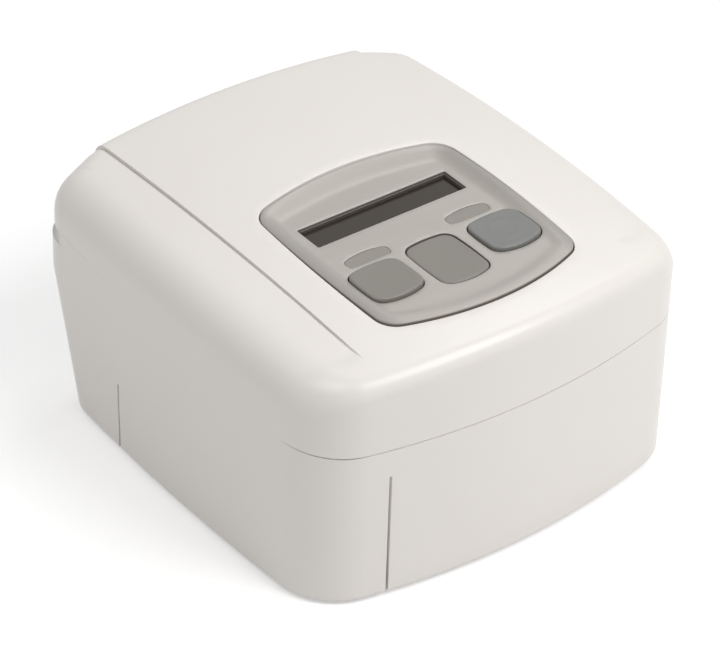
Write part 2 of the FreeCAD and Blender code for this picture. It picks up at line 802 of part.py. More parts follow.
def top_housing(form, shell, above):
    """The upper case half: crowned top, keypad well, screw bosses and board posts."""
    ledge_low = d.ledge_height - d.ledge_thick
    sky = d.crown_height + 2
    well = pillow("keypad_well", plate_outline(), ledge_low, sky, -float(d.wall))
    opening = pillow("keypad_opening", plate_outline(), d.ledge_height, sky, -float(d.plate_gap))
    through = pillow("keypad_through", plate_outline(), ledge_low - 1, sky, float(d.ledge_width))
    bosses = [rod(f"top_boss_{i}", (x, y, d.boss_split), d.boss_radius, sky - d.boss_split)
              for i, (x, y) in enumerate(case_corners())]
    solid = common("top_solids", fuse("top_blocks", well, *bosses), form)
    half = common("top_half", shell, above)
    pilot_height = d.screw_head_height + d.screw_length + 2
    pilots = [rod(f"top_pilot_{i}", (x, y, 0), d.screw_radius, pilot_height)
              for i, (x, y) in enumerate(case_corners())]
    board_top = d.control_height + d.board_thick
    hangers = [rod(f"hanger_{i}", (x, y, board_top), d.hanger_radius, ledge_low + 1 - board_top)
               for i, (x, y) in enumerate(hanger_places())]
    holes = [rod(f"hanger_pilot_{i}", (x, y, board_top - 1), d.pilot_radius, d.pilot_length)
             for i, (x, y) in enumerate(hanger_places())]
    body = cut("top_opened", fuse("top_joined", half, solid), opening, through)
    whole = fuse("top_with_posts", body, *hangers)
    return finish("top_housing", cut("top_housing_shape", whole, *pilots, *holes))


def hanger_places():
    """The places of the posts that the control board hangs from."""
    return at_corners(d.hanger_x, d.hanger_front, d.hanger_rear)


def main_post_places():
    """The places of the posts under the main board."""
    return at_corners(d.main_post_x, d.main_post_front, d.main_post_rear)


def power_post_places():
    """The places of the posts under the power board."""
    inset = d.post_radius + 0.4
    left = d.power_x - d.power_width / 2 + inset
    right = d.power_x + d.power_width / 2 - inset
    rear = d.power_front + d.power_depth - inset
    return [(x, y) for x in (left, right) for y in (d.power_front + inset, rear)]


def foot_places():
    """The places of the rubber feet."""
    return at_corners(d.foot_x, d.foot_front, d.foot_rear)


def bottom_housing(form, shell, above):
    """The lower case half: floor, posts, bosses and the recess for the ports."""
    half = cut("bottom_half", shell, above)
    posts = [rod(f"main_post_{i}", (x, y, 0), d.post_radius, d.main_height)
             for i, (x, y) in enumerate(main_post_places())]
    posts += [rod(f"power_post_{i}", (x, y, 0), d.post_radius, d.power_height)
              for i, (x, y) in enumerate(power_post_places())]
    posts += [rod(f"bottom_boss_{i}", (x, y, 0), d.boss_radius, d.boss_split)
              for i, (x, y) in enumerate(case_corners())]
    bay_front = d.bay_floor - d.port_plate * 3
    bay = box("bay_block", (d.bay_left - d.wall, bay_front, 0),
              (d.bay_right + d.wall, d.case_depth + d.rear_lip, d.bay_high + d.wall))
    solid = common("bottom_solids", fuse("bottom_blocks", bay, *posts), form)
    joined = fuse("bottom_joined", half, solid)
    tools = bay_tools(bay_front) + case_screw_tools() + small_pilot_tools()
    tools += [rod(f"foot_recess_{i}", (x, y, -1), d.foot_radius, d.foot_recess + 1)
              for i, (x, y) in enumerate(foot_places())]
    tools.append(box("front_slit", (d.front_slit_x - d.slit_width / 2, -1, -1),
                     (d.front_slit_x + d.slit_width / 2, d.front_slit_depth, d.front_slit_height)))
    tools.append(box("side_slit", (-d.base_width, d.side_slit_y - d.slit_width / 2, -1),
                     (d.side_slit_x, d.side_slit_y + d.slit_width / 2, d.side_slit_height)))
    tools.append(edge_groove("seam", d.seam_height, d.seam_inset, -5, d.front_corner + 6))
    tools.append(edge_groove("notch", d.notch_height, -d.notch_inset,
                             d.case_depth - d.rear_corner - 3, d.case_depth + 5))
    return finish("bottom_housing", cut("bottom_housing_shape", joined, *tools))


def bay_tools(bay_front):
    """What is taken out for the rear recess, its rim and the seat of the port plate."""
    rim_front = d.bay_floor - d.port_plate
    recess = box("bay_recess", (d.bay_left, d.bay_floor, d.bay_low),
                 (d.bay_right, d.case_depth + 5, d.bay_high))
    seat = box("bay_seat", (d.bay_left, bay_front - 1, d.bay_low),
               (d.bay_right, rim_front, d.bay_high))
    window = box("bay_window", (d.bay_left + d.bay_rim, rim_front - 1, d.bay_low + d.bay_rim),
                 (d.bay_right - d.bay_rim, d.bay_floor + 1, d.bay_high - d.bay_rim))
    return [recess, seat, window]


def case_screw_tools():
    """Counterbores and clearance holes for the case screws."""
    tools = []
    for i, (x, y) in enumerate(case_corners()):
        seat = d.counterbore + d.screw_head_height
        tools.append(rod(f"counterbore_{i}", (x, y, -1), d.screw_head_radius + d.screw_gap, seat + 1))
        tools.append(rod(f"screw_hole_{i}", (x, y, 0), d.screw_radius + d.screw_gap, d.boss_split + 1))
    return tools


def small_pilot_tools():
    """Pilot holes in the tops of the board posts."""
    seats = [(x, y, d.main_height) for x, y in main_post_places()]
    seats += [(x, y, d.power_height) for x, y in power_post_places()]
    return [rod(f"post_pilot_{i}", (x, y, top - d.pilot_length), d.pilot_radius, d.pilot_length + 1)
            for i, (x, y, top) in enumerate(seats)]


def rubber_feet():
    """Four rubber feet with a chamfered rim."""
    bevel = d.foot_height / 4
    profile = [(0, -d.foot_height), (d.foot_radius - bevel, -d.foot_height),
               (d.foot_radius, bevel - d.foot_height), (d.foot_radius, d.foot_recess),
               (0, d.foot_recess)]
    foot = turned("foot", profile)
    feet = [moved(f"foot_{i}", foot, (x, y, 0)) for i, (x, y) in enumerate(foot_places())]
    return finish("rubber_feet", group("feet_group", *feet))


def screw(name, radius, length, head_radius, head_height):
    """A round-headed screw, head down, with a cross recess left to its finish."""
    profile = [(0, 0), (head_radius, 0), (head_radius, head_height), (radius, head_height),
               (radius, head_height + length), (0, head_height + length)]
    return turned(name, profile)


def case_screws():
    """The screws that hold the case halves together."""
    model = screw("case_screw", d.screw_radius, d.screw_length, d.screw_head_radius,
                  d.screw_head_height)
    copies = [moved(f"case_screw_{i}", model, (x, y, d.counterbore))
              for i, (x, y) in enumerate(case_corners())]
    return finish("case_screws", group("case_screw_group", *copies))


# ---------------------------------------------------------------- the keypad


def dish():
    """What is taken out of the keypad plate: a sunk middle with sloping sides."""
    outline = plate_outline()
    inset, rise = float(d.dish_inset), float(d.dish_rise)
    low = outline.wire(inset)
    high = outline.wire(inset - float(d.dish_spread), rise)
    form = Part.makeLoft([low, high], True, True)
    pivot = Vector(0, float(d.window_y), 0)
    form.rotate(pivot, Vector(1, 0, 0), float(d.dish_tilt))
    form.translate(Vector(0, 0, float(d.dish_height)))
    return form


def plate_level(y):
    """The height of the sunk middle at some depth."""
    tilt = math.tan(math.radians(float(d.dish_tilt)))
    return float(d.dish_height) + (float(y) - float(d.window_y)) * tilt


# Each key and indicator: middle x, middle y, width, depth, bows of front, rear and sides.
KEYS = {
    "left_key": (-25.2, 46.8, 21.6, 20.6, (2.6, 1.2, 0.6)),
    "middle_key": (0.0, 45.6, 20.8, 26.6, (2.4, 1.2, 0.6)),
    "right_key": (26.0, 47.2, 21.6, 20.6, (2.6, 1.2, 0.6)),
}
INDICATORS = {
    "left_indicator_lens": (-21.8, 62.0, 18.0, 6.4, (0.3, 1.6, 0.2)),
    "right_indicator_lens": (22.2, 63.0, 18.0, 6.4, (0.3, 1.6, 0.2)),
}
INDICATOR_CORNER = 2.0  # corner radius of an indicator
INDICATOR_SINK = 0.08  # how far an indicator lies below the plate


def small_outline(entry, corner):
    """The outline of a key or indicator about its own middle."""
    _, _, width, depth, bows = entry
    return Outline(width, depth, bows, (corner, corner), -depth / 2)


def key_hole(name, entry, corner, gap):
    """The hole in the plate for a key or an indicator."""
    form = small_outline(entry, corner).prism(d.ledge_height - 1, d.crown_height, -gap)
    return place(shaped(name, form), (entry[0], entry[1], 0))


def keypad_plate():
    """The silver plate: crowned rim, sunk middle, holes for keys, lamps and display."""
    block = plate_outline().prism(d.ledge_height, d.crown_height)
    rise, tip = float(d.plate_rise), float(d.plate_tip)
    form = block.cut(tipped_crown(-rise, tip, float(d.plate_front)))
    blank = shaped("plate_blank", form.cut(dish()))
    corner = float(d.key_corner)
    gap = float(d.key_gap)
    tools = [key_hole(f"{node}_hole", entry, corner, gap) for node, entry in KEYS.items()]
    tools += [key_hole(f"{node}_hole", entry, INDICATOR_CORNER, 0) for node, entry in
              INDICATORS.items()]
    tools.append(centred_box("window_hole", (0, d.window_y, d.ledge_height),
                             (d.window_width, d.window_depth, d.crown_height / 4)))
    return finish("keypad_plate", cut("keypad_plate_shape", blank, *tools))


def key(node, entry, rise):
    """A key with a rounded top edge and a rim under the plate that keeps it in."""
    corner = float(d.key_corner)
    flange_high = float(d.ledge_height) - float(d.key_flange_drop)
    flange_low = flange_high - float(d.key_flange_thick)
    top = plate_level(entry[1]) + rise
    outline = small_outline(entry, corner)
    cap = outline.prism(flange_high, top)
    rim = [edge for edge in cap.Edges if edge.BoundBox.ZMin > top - TOUCH]
    cap = cap.makeFillet(float(d.key_edge), rim)
    flange = outline.prism(flange_low, flange_high, -float(d.key_flange))
    return finish(node, shaped(f"{node}_shape", cap.fuse(flange)), (entry[0], entry[1], 0))


def indicator(node, entry):
    """A lens that fills its hole in the plate."""
    top = plate_level(entry[1]) - INDICATOR_SINK
    lens = small_outline(entry, INDICATOR_CORNER).prism(d.ledge_height, top)
    return finish(node, shaped(f"{node}_shape", lens), (entry[0], entry[1], 0))


def display_lens():
    """The window over the display, held by a rim under the plate."""
    wide, deep = d.window_width - d.window_gap * 2, d.window_depth - d.window_gap * 2
    top = d.dish_height - d.window_sink
    low = d.ledge_height - d.lens_flange_thick
    pane = box("lens_pane", (-wide / 2, d.window_y - deep / 2, low),
               (wide / 2, d.window_y + deep / 2, top))
    rim = d.lens_flange
    flange = box("lens_flange", (-wide / 2 - rim, d.window_y - deep / 2 - rim, low),
                 (wide / 2 + rim, d.window_y + deep / 2 + rim, d.ledge_height))
    return finish("display_lens", fuse("display_lens_shape", pane, flange))


def display_module():
    """The display in its frame, under the lens."""
    body = document.addObject("PartDesign::Body", "display_module")
    top = d.ledge_height - d.lens_flange_thick - d.display_gap
    half, deep = d.window_width / 2 + d.display_rim, d.window_depth / 2 + d.display_rim
    frame = sketch_on(body, "display_frame", "XY_Plane", top - d.display_thick)
    draw_rectangle(frame, -half, d.window_y - deep, half, d.window_y + deep)
    pad(body, frame, d.display_thick)
    glass = sketch_on(body, "display_glass", "XY_Plane", top)
    draw_rectangle(glass, -d.window_width / 2, d.window_y - d.window_depth / 2,
                   d.window_width / 2, d.window_y + d.window_depth / 2)
    pocket(body, glass, d.display_gap * 5)
    return finish("display_module", body)


def keypad_mat():
    """The rubber mat on the control board, with a dome under each key."""
    low = d.control_height + d.board_thick
    sheet = box("mat_sheet", (-d.mat_half, d.mat_front, low),
                (d.mat_half, d.mat_rear, low + d.mat_thick))
    top = (d.ledge_height - d.key_flange_drop - d.key_flange_thick - d.key_travel
           - d.dome_gap)
    domes = [rod(f"dome_{node}", (entry[0], entry[1], low), d.dome_radius, top - low)
             for node, entry in KEYS.items()]
    return finish("keypad_mat", fuse("keypad_mat_shape", sheet, *domes))


# ---------------------------------------------------------------- boards


def board(node, left, front, right, rear, low, holes):
    """A circuit board with a screw hole at each post."""
    body = document.addObject("PartDesign::Body", node)
    outline = sketch_on(body, f"{node}_outline", "XY_Plane", low)
    draw_rectangle(outline, left, front, right, rear)
    pad(body, outline, d.board_thick)
    drills = sketch_on(body, f"{node}_holes", "XY_Plane", low + d.board_thick)
    for x, y in holes:
        draw_circle(drills, x, y, d.pilot_radius + d.screw_gap / 2)
    pocket(body, drills, d.board_thick + 1)
    return finish(node, body)


def boards():
    """The control, main and power boards."""
    half = d.control_width / 2
    board("control_board", -half, d.control_front, half, d.control_front + d.control_depth,
          d.control_height, hanger_places())
    half = d.main_width / 2
    board("main_board", -half, d.main_front, half, d.main_front + d.main_depth,
          d.main_height, main_post_places())
    half = d.power_width / 2
    board("power_board", d.power_x - half, d.power_front, d.power_x + half,
          d.power_front + d.power_depth, d.power_height, power_post_places())


def board_screws():
    """The small screws of the three boards, each lot in a node of its own."""
    model = screw("board_screw", d.pilot_radius, d.pilot_length - 1, d.pilot_head_radius,
                  d.pilot_head_height)
    over = Rotation(Vector(1, 0, 0), 180)
    lots = {
        "control_screws": (hanger_places(), d.control_height - d.pilot_head_height, Rotation()),
        "main_screws": (main_post_places(),
                        d.main_height + d.board_thick + d.pilot_head_height, over),
        "power_screws": (power_post_places(),
                         d.power_height + d.board_thick + d.pilot_head_height, over),
    }
    for node, (places, height, turn) in lots.items():
        copies = [moved(f"{node}_{i}", model, (x, y, height), turn)
                  for i, (x, y) in enumerate(places)]
        finish(node, group(f"{node}_group", *copies))


# Parts on the boards: node, the board's top, then boxes as (middle x, middle y, wide, deep, high).
MAIN_CHIPS = [(-30.0, 50.0, 14.0, 14.0, 2.0), (-34.0, 78.0, 10.0, 16.0, 2.2),
              (20.0, 40.0, 9.0, 9.0, 1.6), (46.0, 60.0, 8.0, 18.0, 7.0)]
TRANSFORMER = (41.5, 92.0, 21.0, 24.0, 20.0)
HEAT_SINK = (41.5, 52.0, 12.0, 22.0, 22.0)
CAPACITORS = [(36.0, 72.0), (47.5, 72.0)]
CAPACITOR_RADIUS = 5.0
CAPACITOR_HEIGHT = 20.0
BEEPER = (34.0, 80.0, 6.0, 5.0)  # middle x, middle y, radius, height
SENSOR = (14.0, 95.5, 9.0, 9.0, 6.4)
FIN_COUNT = 4
FIN_SLOT = 1.4


def part_on_board(name, entry, board_top):
    """A block that stands on a board."""
    x, y, wide, deep, high = entry
    return centred_box(name, (x, y, board_top + high / 2), (wide, deep, high))


def board_parts():
    """What stands on the boards."""
    main_top = d.main_height + d.board_thick
    power_top = d.power_height + d.board_thick
    chips = [part_on_board(f"chip_{i}", entry, main_top) for i, entry in enumerate(MAIN_CHIPS)]
    finish("main_chips", group("chip_group", *chips))
    x, y, radius, height = BEEPER
    finish("beeper", fuse("beeper_shape", rod("beeper_can", (x, y, main_top), radius, height),
                          rod("beeper_lip", (x, y, main_top), radius / 2, height + 0.5)))
    sensor = part_on_board("sensor_block", SENSOR, main_top)
    finish("pressure_sensor", group("sensor_group", sensor))
    finish("transformer", fuse("transformer_shape", *transformer_blocks(power_top)))
    cans = [rod(f"capacitor_{i}", (x, y, power_top), CAPACITOR_RADIUS, CAPACITOR_HEIGHT)
            for i, (x, y) in enumerate(CAPACITORS)]
    finish("power_capacitors", group("capacitor_group", *cans))
    finish("heat_sink", heat_sink(power_top))


def transformer_blocks(board_top):
    """A winding between the cheeks of its core."""
    x, y, wide, deep, high = TRANSFORMER
    core = (x, y, wide, deep / 2, high)
    winding = (x, y, wide * 0.7, deep, high * 0.8)
    return [part_on_board("transformer_core", core, board_top),
            part_on_board("transformer_winding", winding, board_top)]


def heat_sink(board_top):
    """A finned block."""
    x, y, wide, deep, high = HEAT_SINK
    block = part_on_board("sink_block", HEAT_SINK, board_top)
    pitch = deep / FIN_COUNT
    slots = []
    for i in range(1, FIN_COUNT):
        middle = (x, y - deep / 2 + i * pitch, board_top + high / 2 + high / 8)
        slots.append(centred_box(f"sink_slot_{i}", middle, (wide + 1, FIN_SLOT, high * 0.76)))
    return cut("heat_sink_shape", block, *slots)


def ribbon():
    """The flat cable between the main and control boards, and its two sockets."""
    x, y, wide, deep, high = -2.0, 92.0, 18.0, 4.0, 3.6
    main_top = d.main_height + d.board_thick
    low = part_on_board("ribbon_socket_low", (x, y, wide, deep, high), main_top)
    top = part_on_board("ribbon_socket_high", (x, y, wide, deep, high), d.control_height - high)
    finish("ribbon_sockets", group("ribbon_socket_group", low, top))
    span = (d.control_height - main_top) - high * 2
    strip = centred_box("ribbon_strip", (x, y, main_top + high + span / 2), (wide - 2, 0.4, span))
    finish("display_ribbon", group("ribbon_group", strip))


# ---------------------------------------------------------------- blower


def blower_form():
    """The two halves of the blower as one closed scroll with its outlet."""
    x, y, middle = d.blower_x, d.blower_y, d.blower_split
    wall, half = d.blower_wall, d.duct_width / 2
    height = d.blower_top - d.blower_base
    drum = rod("blower_drum", (x, y, d.blower_base), d.blower_radius, height)
    duct = box("blower_duct", (d.duct_x - half, y, middle - half),
               (d.duct_x + half, d.duct_end, middle + half))
    spigot = rod("blower_spigot", (d.duct_x, d.duct_end - wall, middle), d.spigot_radius,
                 d.spigot_end - d.duct_end + wall, "y")
    low = d.blower_base + d.blower_floor
    drum_inside = rod("blower_room", (x, y, low), d.blower_radius - wall, d.blower_top - wall - low)
    inner = half - wall
    duct_inside = box("duct_room", (d.duct_x - inner, y, middle - inner),
                      (d.duct_x + inner, d.duct_end - wall, middle + inner))
    bore = rod("spigot_room", (d.duct_x, d.duct_end - wall * 2, middle), d.spigot_bore,
               d.spigot_end - d.duct_end + wall * 3, "y")
    outside = fuse("blower_outside", drum, duct, spigot)
    return cut("blower_shell", outside, drum_inside, duct_inside, bore)


def blower_halves():
    """The blower's base with its bearing seat, and its cover with the intake."""
    shell = blower_form()
    x, y = d.blower_x, d.blower_y
    reach = d.case_depth
    upper = box("blower_upper", (-reach, 0, d.blower_split), (reach, reach, d.crown_height))
    seat_low = d.blower_base + d.blower_floor - d.bearing_thick - 0.2
    seat = rod("bearing_seat", (x, y, seat_low), d.bearing_radius, d.bearing_thick + 1)
    relief = rod("shaft_relief", (x, y, d.shaft_low - 0.2), d.shaft_radius + d.screw_gap, 2)
    base = cut("blower_base_shape", cut("blower_lower", shell, upper), seat, relief)
    finish("blower_base", base)
    intake = rod("intake", (x, y, d.blower_top - d.blower_wall - 1), d.intake_radius,
                 d.blower_wall + 2)
    finish("blower_cover", cut("blower_cover_shape", common("blower_high", shell, upper), intake))


def bearings():
    """The two bearings of the motor shaft."""
    inner = d.shaft_radius + d.bearing_gap
    ring = [(inner, 0), (d.bearing_radius, 0), (d.bearing_radius, d.bearing_thick),
            (inner, d.bearing_thick)]
    low = d.blower_base + d.blower_floor - d.bearing_thick - 0.2
    finish("lower_bearing", turned("lower_ring", ring), (d.blower_x, d.blower_y, low))
    finish("upper_bearing", turned("upper_ring", ring), (d.blower_x, d.blower_y, d.plate_low))


def motor_plate():
    """The plate between motor and impeller that holds the upper bearing."""
    edge = d.blower_radius - d.blower_wall - 0.2
    ring = [(d.bearing_radius, 0), (edge, 0), (edge, d.bearing_thick),
            (d.bearing_radius, d.bearing_thick)]
    finish("motor_plate", turned("plate_ring", ring), (d.blower_x, d.blower_y, d.plate_low))


def motor_stator():
    """The laminated ring with a tooth for each coil."""
    body = document.addObject("PartDesign::Body", "stator_body")
    ring = sketch_on(body, "stator_ring", "XZ_Plane")
    high = d.stator_high - d.stator_low
    yoke = d.stator_radius - 3.5
    draw_polygon(ring, [(yoke, 0), (d.stator_radius, 0), (d.stator_radius, high), (yoke, high)])
    revolve(body, ring)
    tooth = sketch_on(body, "stator_tooth", "XY_Plane")
    draw_rectangle(tooth, d.stator_bore, -1.2, yoke + 1, 1.2)
    feature = pad(body, tooth, high)
    polar(body, feature, d.coil_count)
    finish("motor_stator", body, (d.blower_x, d.blower_y, d.stator_low))


def motor_coils():
    """A winding between each two teeth."""
    count = int(float(d.coil_count))
    low, high = d.stator_low + 1, d.stator_high - 1
    coil = box("coil", (d.stator_bore + 0.6, -1.6, low), (d.stator_radius - 3.9, 1.6, high))
    coils = []
    for i in range(count):
        turn = Rotation(Vector(0, 0, 1), 360 * (i + 0.5) / count)
        coils.append(moved(f"coil_{i}", coil, (0, 0, 0), turn))
    finish("motor_coils", group("coil_group", *coils), (d.blower_x, d.blower_y, 0))


def rotor():
    """The shaft with the magnet and the impeller on it."""
    axis = (d.blower_x, d.blower_y, 0)
    shaft = document.addObject("PartDesign::Body", "shaft_body")
    end = sketch_on(shaft, "shaft_end", "XY_Plane", d.shaft_low)
    draw_circle(end, 0, 0, d.shaft_radius)
    pad(shaft, end, d.shaft_high - d.shaft_low)
    finish("motor_shaft", shaft, axis)
    ring = [(d.shaft_radius, d.magnet_low), (d.magnet_radius, d.magnet_low),
            (d.magnet_radius, d.magnet_high), (d.shaft_radius, d.magnet_high)]
    finish("rotor_magnet", turned("magnet_ring", ring), axis)
    finish("impeller", impeller(), axis)


def impeller():
    """A disc and hub with swept blades."""
    body = document.addObject("PartDesign::Body", "impeller_body")
    low, disc_top = d.impeller_low, d.impeller_low + d.impeller_disc
    profile = sketch_on(body, "impeller_profile", "XZ_Plane")
    draw_polygon(profile, [(d.shaft_radius, low), (d.impeller_radius, low),
                           (d.impeller_radius, disc_top), (d.hub_radius, disc_top),
                           (d.hub_radius, d.impeller_high), (d.shaft_radius, d.impeller_high)])
    revolve(body, profile)
    blade = sketch_on(body, "impeller_blade", "XY_Plane", disc_top - 0.2)
    sweep = d.impeller_radius / 3
    draw_polygon(blade, [(d.hub_radius - 1, 0), (d.impeller_radius * 0.6, sweep / 2),
                         (d.impeller_radius * 0.92, sweep),
                         (d.impeller_radius * 0.92, sweep + d.blade_thick),
                         (d.impeller_radius * 0.6, sweep / 2 + d.blade_thick),
                         (d.hub_radius - 1, d.blade_thick)])
    feature = pad(body, blade, d.impeller_high - disc_top - 0.4)
    polar(body, feature, d.blade_count)
    return body


def blower_mounts():
    """Rubber bushes that carry the blower."""
    floor = d.wall
    profile = [(0, floor), (d.bush_radius, floor), (d.bush_radius, floor + 3),
               (d.bush_radius - 1.2, floor + 4), (d.bush_radius - 1.2, d.blower_base - 3),
               (d.bush_radius, d.blower_base - 2), (d.bush_radius, d.blower_base),
               (0, d.blower_base)]
    bush = turned("bush", profile)
    reach = d.bush_ring / math.sqrt(2)
    copies = []
    for i, (sx, sy) in enumerate(((-1, -1), (-1, 1), (1, -1), (1, 1))):
        at = (d.blower_x + reach * sx, d.blower_y + reach * sy, 0)
        copies.append(moved(f"bush_{i}", bush, at))
    finish("blower_mounts", group("bush_group", *copies))


def inner_hose():
    """The soft hose from the blower to the air outlet."""
    length = d.hose_end - d.hose_start
    at = (d.duct_x, d.hose_start, d.blower_split)
    outside = rod("hose_outside", at, d.hose_radius, length, "y")
    inside = rod("hose_inside", at, d.spigot_radius + d.hose_gap, length, "y")
    finish("inner_hose", cut("inner_hose_shape", outside, inside))


def tube_along(name, points, radius, bend):
    """A round tube along straight runs joined by arcs."""
    edges, start = [], points[0]
    for before, corner, after in zip(points, points[1:], points[2:]):
        first = toward(corner, before, bend)
        last = toward(corner, after, bend)
        centre = first + (last - corner)
        edges.append(Part.LineSegment(start, first).toShape())
        edges.append(arc(centre, first, last))
        start = last
    edges.append(Part.LineSegment(start, points[-1]).toShape())
    path = Part.Wire(edges)
    ring = Part.Wire(Part.Circle(points[0], points[1] - points[0], radius).toShape())
    return shaped(name, path.makePipeShell([ring], True, True))


def leads():
    """The pressure tube and the wires inside the case."""
    duct_top = float(d.blower_split + d.duct_width / 2)
    x, y, _, deep, high = SENSOR
    level = float(d.main_height + d.board_thick) + high / 2
    tap = float(d.duct_end) - 3
    path = [Vector(x, tap, duct_top), Vector(x, tap, level), Vector(x, y + deep / 2, level)]
    finish("pressure_tube", tube_along("pressure_tube_shape", path, 1.6, 3.0))
    side = float(d.blower_x - d.blower_radius)
    middle, low = float(d.blower_y), float(d.blower_base) + 6
    top = float(d.main_height)
    path = [Vector(side, middle, low), Vector(side - 4, middle, low), Vector(side - 4, middle, top)]
    finish("motor_lead", tube_along("motor_lead_shape", path, 1.5, 2.5))
    back = float(d.bay_floor - d.port_plate + 1 - d.mains_depth)
    end = float(d.power_front + d.power_depth) - 8
    board_top = float(d.power_height + d.board_thick)
    wires = []
    for i, shift in enumerate((-4.3, 4.3)):
        wire_x, wire_z = float(d.mains_x) - 4 + shift, float(d.mains_z)
        path = [Vector(wire_x, back, wire_z), Vector(wire_x, end, wire_z),
                Vector(wire_x, end, board_top)]
        wires.append(tube_along(f"mains_wire_{i}", path, 1.2, 3.0))
    finish("mains_leads", group("mains_wire_group", *wires))


# ---------------------------------------------------------------- intake and ports


def inlet_muffler():
    """The box behind the filter that quietens the intake, and its foam."""
    wall = d.muffler_wall
    low = (d.muffler_left, d.muffler_front, d.muffler_low)
    high = (d.muffler_right, d.muffler_rear, d.muffler_high)
    inside_low = [length + wall for length in low]
    inside_high = (d.muffler_right - wall, d.muffler_rear + 1, d.muffler_high - wall)
    middle_z = (d.muffler_low + d.muffler_high) / 2
    hole = rod("muffler_hole", (d.filter_x, d.muffler_front - 1, middle_z), d.muffler_hole,
               wall + 2, "y")
    shell = cut("inlet_muffler_shape", box("muffler_box", low, high),
                box("muffler_room", inside_low, inside_high), hole)
    finish("inlet_muffler", shell)
    gap = d.foam_gap
    foam_low = [length + gap for length in inside_low]
    foam_high = (d.muffler_right - wall - gap, d.muffler_rear - wall, d.muffler_high - wall - gap)
    foam = box("muffler_foam_block", foam_low, foam_high)
    channel = rod("foam_channel", (d.filter_x, d.muffler_front, middle_z), d.muffler_hole,
                  d.muffler_rear - d.muffler_front, "y")
    finish("muffler_foam", cut("muffler_foam_shape", foam, channel))


def plate_face():
    """The depth of the port plate's outer face."""
    return d.bay_floor - d.port_plate


def port_plate():
    """The plate behind the recess's rim that carries the ports and the cap's hinge."""
    body = document.addObject("PartDesign::Body", "port_plate_body")
    back = plate_face() - d.port_plate
    gap = d.port_plate_gap
    outline = sketch_on(body, "port_outline", "XZ_Plane", -back)
    draw_rectangle(outline, d.bay_left + gap, d.bay_low + gap, d.bay_right - gap, d.bay_high - gap)
    pad(body, outline, d.port_plate, reverse=True)
    holes = sketch_on(body, "port_holes", "XZ_Plane", -back)
    draw_circle(holes, d.duct_x, d.outlet_z, d.outlet_collar)
    draw_circle(holes, d.jack_x, d.jack_z, d.jack_radius)
    for x, z, wide, high in port_windows():
        draw_rectangle(holes, x - wide / 2, z - high / 2, x + wide / 2, z + high / 2)
    pocket(body, holes, d.port_plate + 1)
    knuckles, pins = [], []
    x, y = cap_axis()
    for i, low in enumerate(knuckle_levels()):
        knuckles.append(rod(f"knuckle_{i}", (x, y, low), d.knuckle_radius, d.knuckle_height))
        knuckles.append(box(f"knuckle_root_{i}", (x - d.knuckle_radius, plate_face() - 1, low),
                            (x + d.knuckle_radius, y, low + d.knuckle_height)))
        pins.append(rod(f"knuckle_bore_{i}", (x, y, low), d.cap_pin_radius + d.cap_pin_gap,
                        d.knuckle_height))
    joined = fuse("port_plate_joined", body, *knuckles)
    finish("port_plate", cut("port_plate_shape", joined, *pins))


def port_windows():
    """The rectangular openings of the port plate: middle x, middle z, width, height."""
    data_wide, data_high = data_block()
    return [
        (d.filter_x, d.filter_z, d.filter_width, d.filter_height),
        (d.mains_x, d.mains_z, d.mains_width, d.mains_height),
        (d.data_x, d.data_z, data_wide, data_high),
    ]


def data_block():
    """The outside width and height of the data socket."""
    return d.data_width + d.data_wall * 2, d.data_height + d.data_wall * 2


def air_outlet():
    """The tapered-hose connector, with its flange behind the port plate."""
    x, z = d.duct_x, d.outlet_z
    back = plate_face() - d.port_plate
    straight = d.outlet_end - d.outlet_bead - plate_face()
    tube = rod("outlet_tube", (x, plate_face(), z), d.outlet_radius, straight, "y")
    collar = rod("outlet_collar", (x, back, z), d.outlet_collar, d.port_plate, "y")
    tip = document.addObject("Part::Cone", "outlet_tip")
    bind(tip, "Radius1", d.outlet_radius)
    bind(tip, "Radius2", d.outlet_radius - d.outlet_bead)
    bind(tip, "Height", d.outlet_bead)
    place(tip, (x, d.outlet_end - d.outlet_bead, z), ABOUT["y"])
    flange = rod("outlet_flange", (x, back - d.outlet_flange_thick, z), d.outlet_flange,
                 d.outlet_flange_thick, "y")
    stub = rod("outlet_stub", (x, d.outlet_start, z), d.spigot_radius,
               back - d.outlet_start, "y")
    bore = rod("outlet_hole", (x, d.outlet_start - 1, z), d.outlet_bore,
               d.outlet_end - d.outlet_start + 2, "y")
    finish("air_outlet", cut("air_outlet_shape",
                             fuse("outlet_outside", tube, tip, collar, flange, stub), bore))


